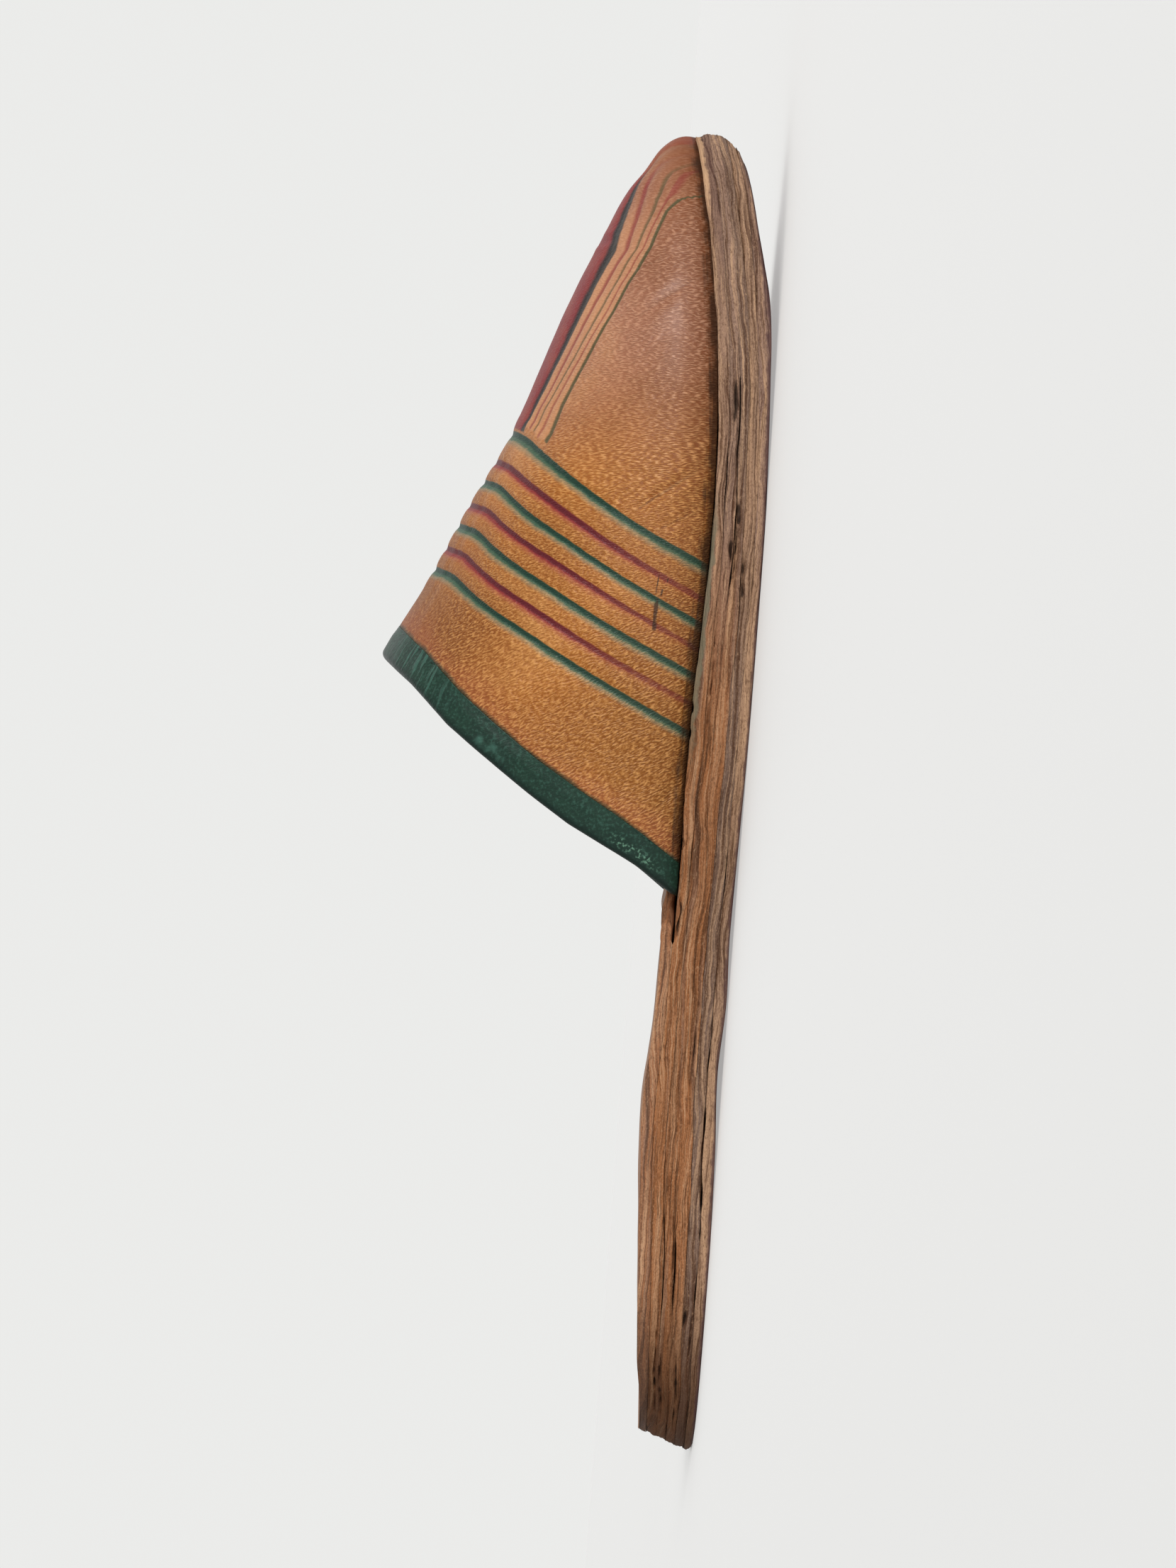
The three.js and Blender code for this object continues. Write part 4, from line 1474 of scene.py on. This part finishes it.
def insole_material(settings):
    finish = Finish("worn_insole_leather")
    edge, edge_height = torn_rim(finish, settings.top, settings.ember, settings)
    place = finish.place()
    blotch = finish.clouds(place, 34, 5)
    pores = finish.clouds(place, 2600)
    streaks = finish.clouds(finish.scaled(place, (90, 700, 300)), detail=3)
    x, y, _ = finish.split(finish.scaled(place, (1 / MM, 1 / MM, 1 / MM)))
    heel_x, heel_y = (x + HEEL_PRINT.back) / HEEL_PRINT.length, y / HEEL_PRINT.width
    printed = (heel_x * heel_x + heel_y * heel_y + (blotch - 0.5) * 1.6).step(1.3, 0.4)
    base = finish.mix(blotch.step(0.4, 0.68) * 0.45, settings.insole, settings.ember).coated(
        (printed * 0.3 + blotch.step(0.44, 0.3) * 0.25, settings.umber),
        (streaks.step(0.56, 0.76) * 0.2, settings.fibre),
        (pores.step(0.45, 0.3) * 0.22, settings.crack),
    )
    rim = finish.attribute("rim").step(0.4, 0.9)
    finish.feed(
        Base_Color=finish.mix(rim, base, edge),
        Roughness=0.55 + blotch * 0.2 + rim * 0.15,
        Normal=finish.bump(pores * 0.5 + streaks + edge_height * rim, 0.0003, 0.7),
    )
    return finish.material


# Stage

FLOOR_SIZE = 12           # metres, so that its end lies far behind the shoe
FLOOR_GLOW = 0.65
ROOM_LIGHT = (0.98, 0.98, 0.96, 1)
ROOM_STRENGTH = 0.42
BACKDROP = (0.832, 0.834, 0.82, 1)
CAMERA_X = -0.001
CAMERA_AIM = Vector((0, 0, 0.031))
WINDOWS = table(
    "name direction strength spread",
    ("front_window", (0.5, -0.8, 0.3), 2.4, 28),
    ("back_window", (0.2, 0.7, 0.6), 0.6, 70),
)


def make_sun(window):
    """Light from a wide patch of sky, even over the whole floor."""
    data = bpy.data.lights.new(window.name, "SUN")
    data.energy = window.strength
    data.angle = math.radians(window.spread)
    light = bpy.data.objects.new(window.name, data)
    light.rotation_euler = Vector(window.direction).to_track_quat("Z", "Y").to_euler()
    bpy.context.scene.collection.objects.link(light)


def make_floor(settings):
    floor = add_grid("pale_floor", 8, 8, FLOOR_SIZE)
    with opened(floor):
        bpy.ops.mesh.subdivide(number_cuts=1)
    finish = Finish("pale_floor_paint")
    finish.feed(Base_Color=settings.floor, Roughness=0.7)
    finish.feed(Emission_Color=settings.floor, Emission_Strength=FLOOR_GLOW)
    floor.data.materials.append(finish.material)


def make_world():
    """Even pale light, with a backdrop of the floor's own tone where the camera looks past the floor."""
    world = bpy.data.worlds.new("pale_room")
    world.use_nodes = True
    tree = world.node_tree
    room = tree.nodes["Background"]
    room.inputs["Color"].default_value = ROOM_LIGHT
    room.inputs["Strength"].default_value = ROOM_STRENGTH
    backdrop = tree.nodes.new("ShaderNodeBackground")
    backdrop.inputs["Color"].default_value = BACKDROP
    seen = tree.nodes.new("ShaderNodeLightPath")
    blend = tree.nodes.new("ShaderNodeMixShader")
    tree.links.new(seen.outputs["Is Camera Ray"], blend.inputs[0])
    tree.links.new(room.outputs[0], blend.inputs[1])
    tree.links.new(backdrop.outputs[0], blend.inputs[2])
    tree.links.new(blend.outputs[0], tree.nodes["World Output"].inputs["Surface"])
    bpy.context.scene.world = world


def make_camera(settings):
    data = bpy.data.cameras.new("photo_camera")
    data.lens = settings.lens
    camera = bpy.data.objects.new("photo_camera", data)
    bpy.context.scene.collection.objects.link(camera)
    place = Vector((CAMERA_X, -settings.distance, settings.height))
    forward = (CAMERA_AIM - place).normalized()
    picture_up = Vector((math.cos(settings.lean), 0, math.sin(settings.lean)))
    right = forward.cross(picture_up).normalized()
    up = right.cross(forward)
    camera.matrix_world = Matrix.Translation(place) @ Matrix((right, up, -forward)).transposed().to_4x4()
    bpy.context.scene.camera = camera


# Operators


class MULE_OT_upper(bpy.types.Operator):
    """Lasts the painted upper over the shoe's form"""

    bl_idname = "mule.upper"
    bl_label = "Last Upper"

    def execute(self, context):
        settings = context.scene.mule_upper
        dress(make_upper(settings), upper_material(settings), "upper")
        return {"FINISHED"}


class MULE_OT_binding(bpy.types.Operator):
    """Folds the green binding over the collar"""

    bl_idname = "mule.binding"
    bl_label = "Fold Binding"

    def execute(self, context):
        settings = context.scene.mule_upper
        dress(make_binding(settings), binding_material(settings), "collar_binding")
        return {"FINISHED"}


class MULE_OT_sole(bpy.types.Operator):
    """Stacks the worn plies of the sole"""

    bl_idname = "mule.sole"
    bl_label = "Stack Sole"

    def execute(self, context):
        settings = context.scene.mule_sole
        for number, ply in enumerate(SOLE_PLIES):
            dress(make_ply(number, settings), ply_material(ply, settings), ply.name)
        return {"FINISHED"}


class MULE_OT_insole(bpy.types.Operator):
    """Lays the worn insole on the sole"""

    bl_idname = "mule.insole"
    bl_label = "Lay Insole"

    def execute(self, context):
        settings = context.scene.mule_sole
        dress(make_insole(settings), insole_material(settings), "insole")
        return {"FINISHED"}


class MULE_OT_stage(bpy.types.Operator):
    """Sets the floor, the light and the camera"""

    bl_idname = "mule.stage"
    bl_label = "Set Stage"

    def execute(self, context):
        settings = context.scene.mule_stage
        make_floor(settings)
        make_world()
        for window in WINDOWS:
            make_sun(window)
        make_camera(settings)
        context.scene.view_settings.view_transform = "Standard"
        return {"FINISHED"}


class MULE_PT_panel(bpy.types.Panel):
    """Lists the shoe's pieces and settings"""

    bl_idname = "MULE_PT_panel"
    bl_label = "Leather Mule"
    bl_space_type = "VIEW_3D"
    bl_region_type = "UI"
    bl_category = "Mule"

    def draw(self, context):
        for operator in OPERATORS:
            self.layout.operator(operator.bl_idname)
        for group in (context.scene.mule_upper, context.scene.mule_sole, context.scene.mule_stage):
            box = self.layout.box()
            for name in group.bl_rna.properties.keys():
                if name not in ("rna_type", "name"):
                    box.prop(group, name)


SETTINGS = {"mule_upper": MuleUpperSettings, "mule_sole": MuleSoleSettings, "mule_stage": MuleStageSettings}
OPERATORS = (MULE_OT_upper, MULE_OT_binding, MULE_OT_sole, MULE_OT_insole, MULE_OT_stage)


def register():
    for kind in (*SETTINGS.values(), *OPERATORS, MULE_PT_panel):
        bpy.utils.register_class(kind)
    for name, kind in SETTINGS.items():
        setattr(bpy.types.Scene, name, bpy.props.PointerProperty(type=kind))


def unregister():
    for name in SETTINGS:
        delattr(bpy.types.Scene, name)
    for kind in reversed((*SETTINGS.values(), *OPERATORS, MULE_PT_panel)):
        bpy.utils.unregister_class(kind)


def main():
    register()
    bpy.ops.mule.upper()
    bpy.ops.mule.binding()
    bpy.ops.mule.sole()
    bpy.ops.mule.insole()
    bpy.ops.mule.stage()


if __name__ == "__main__":
    main()
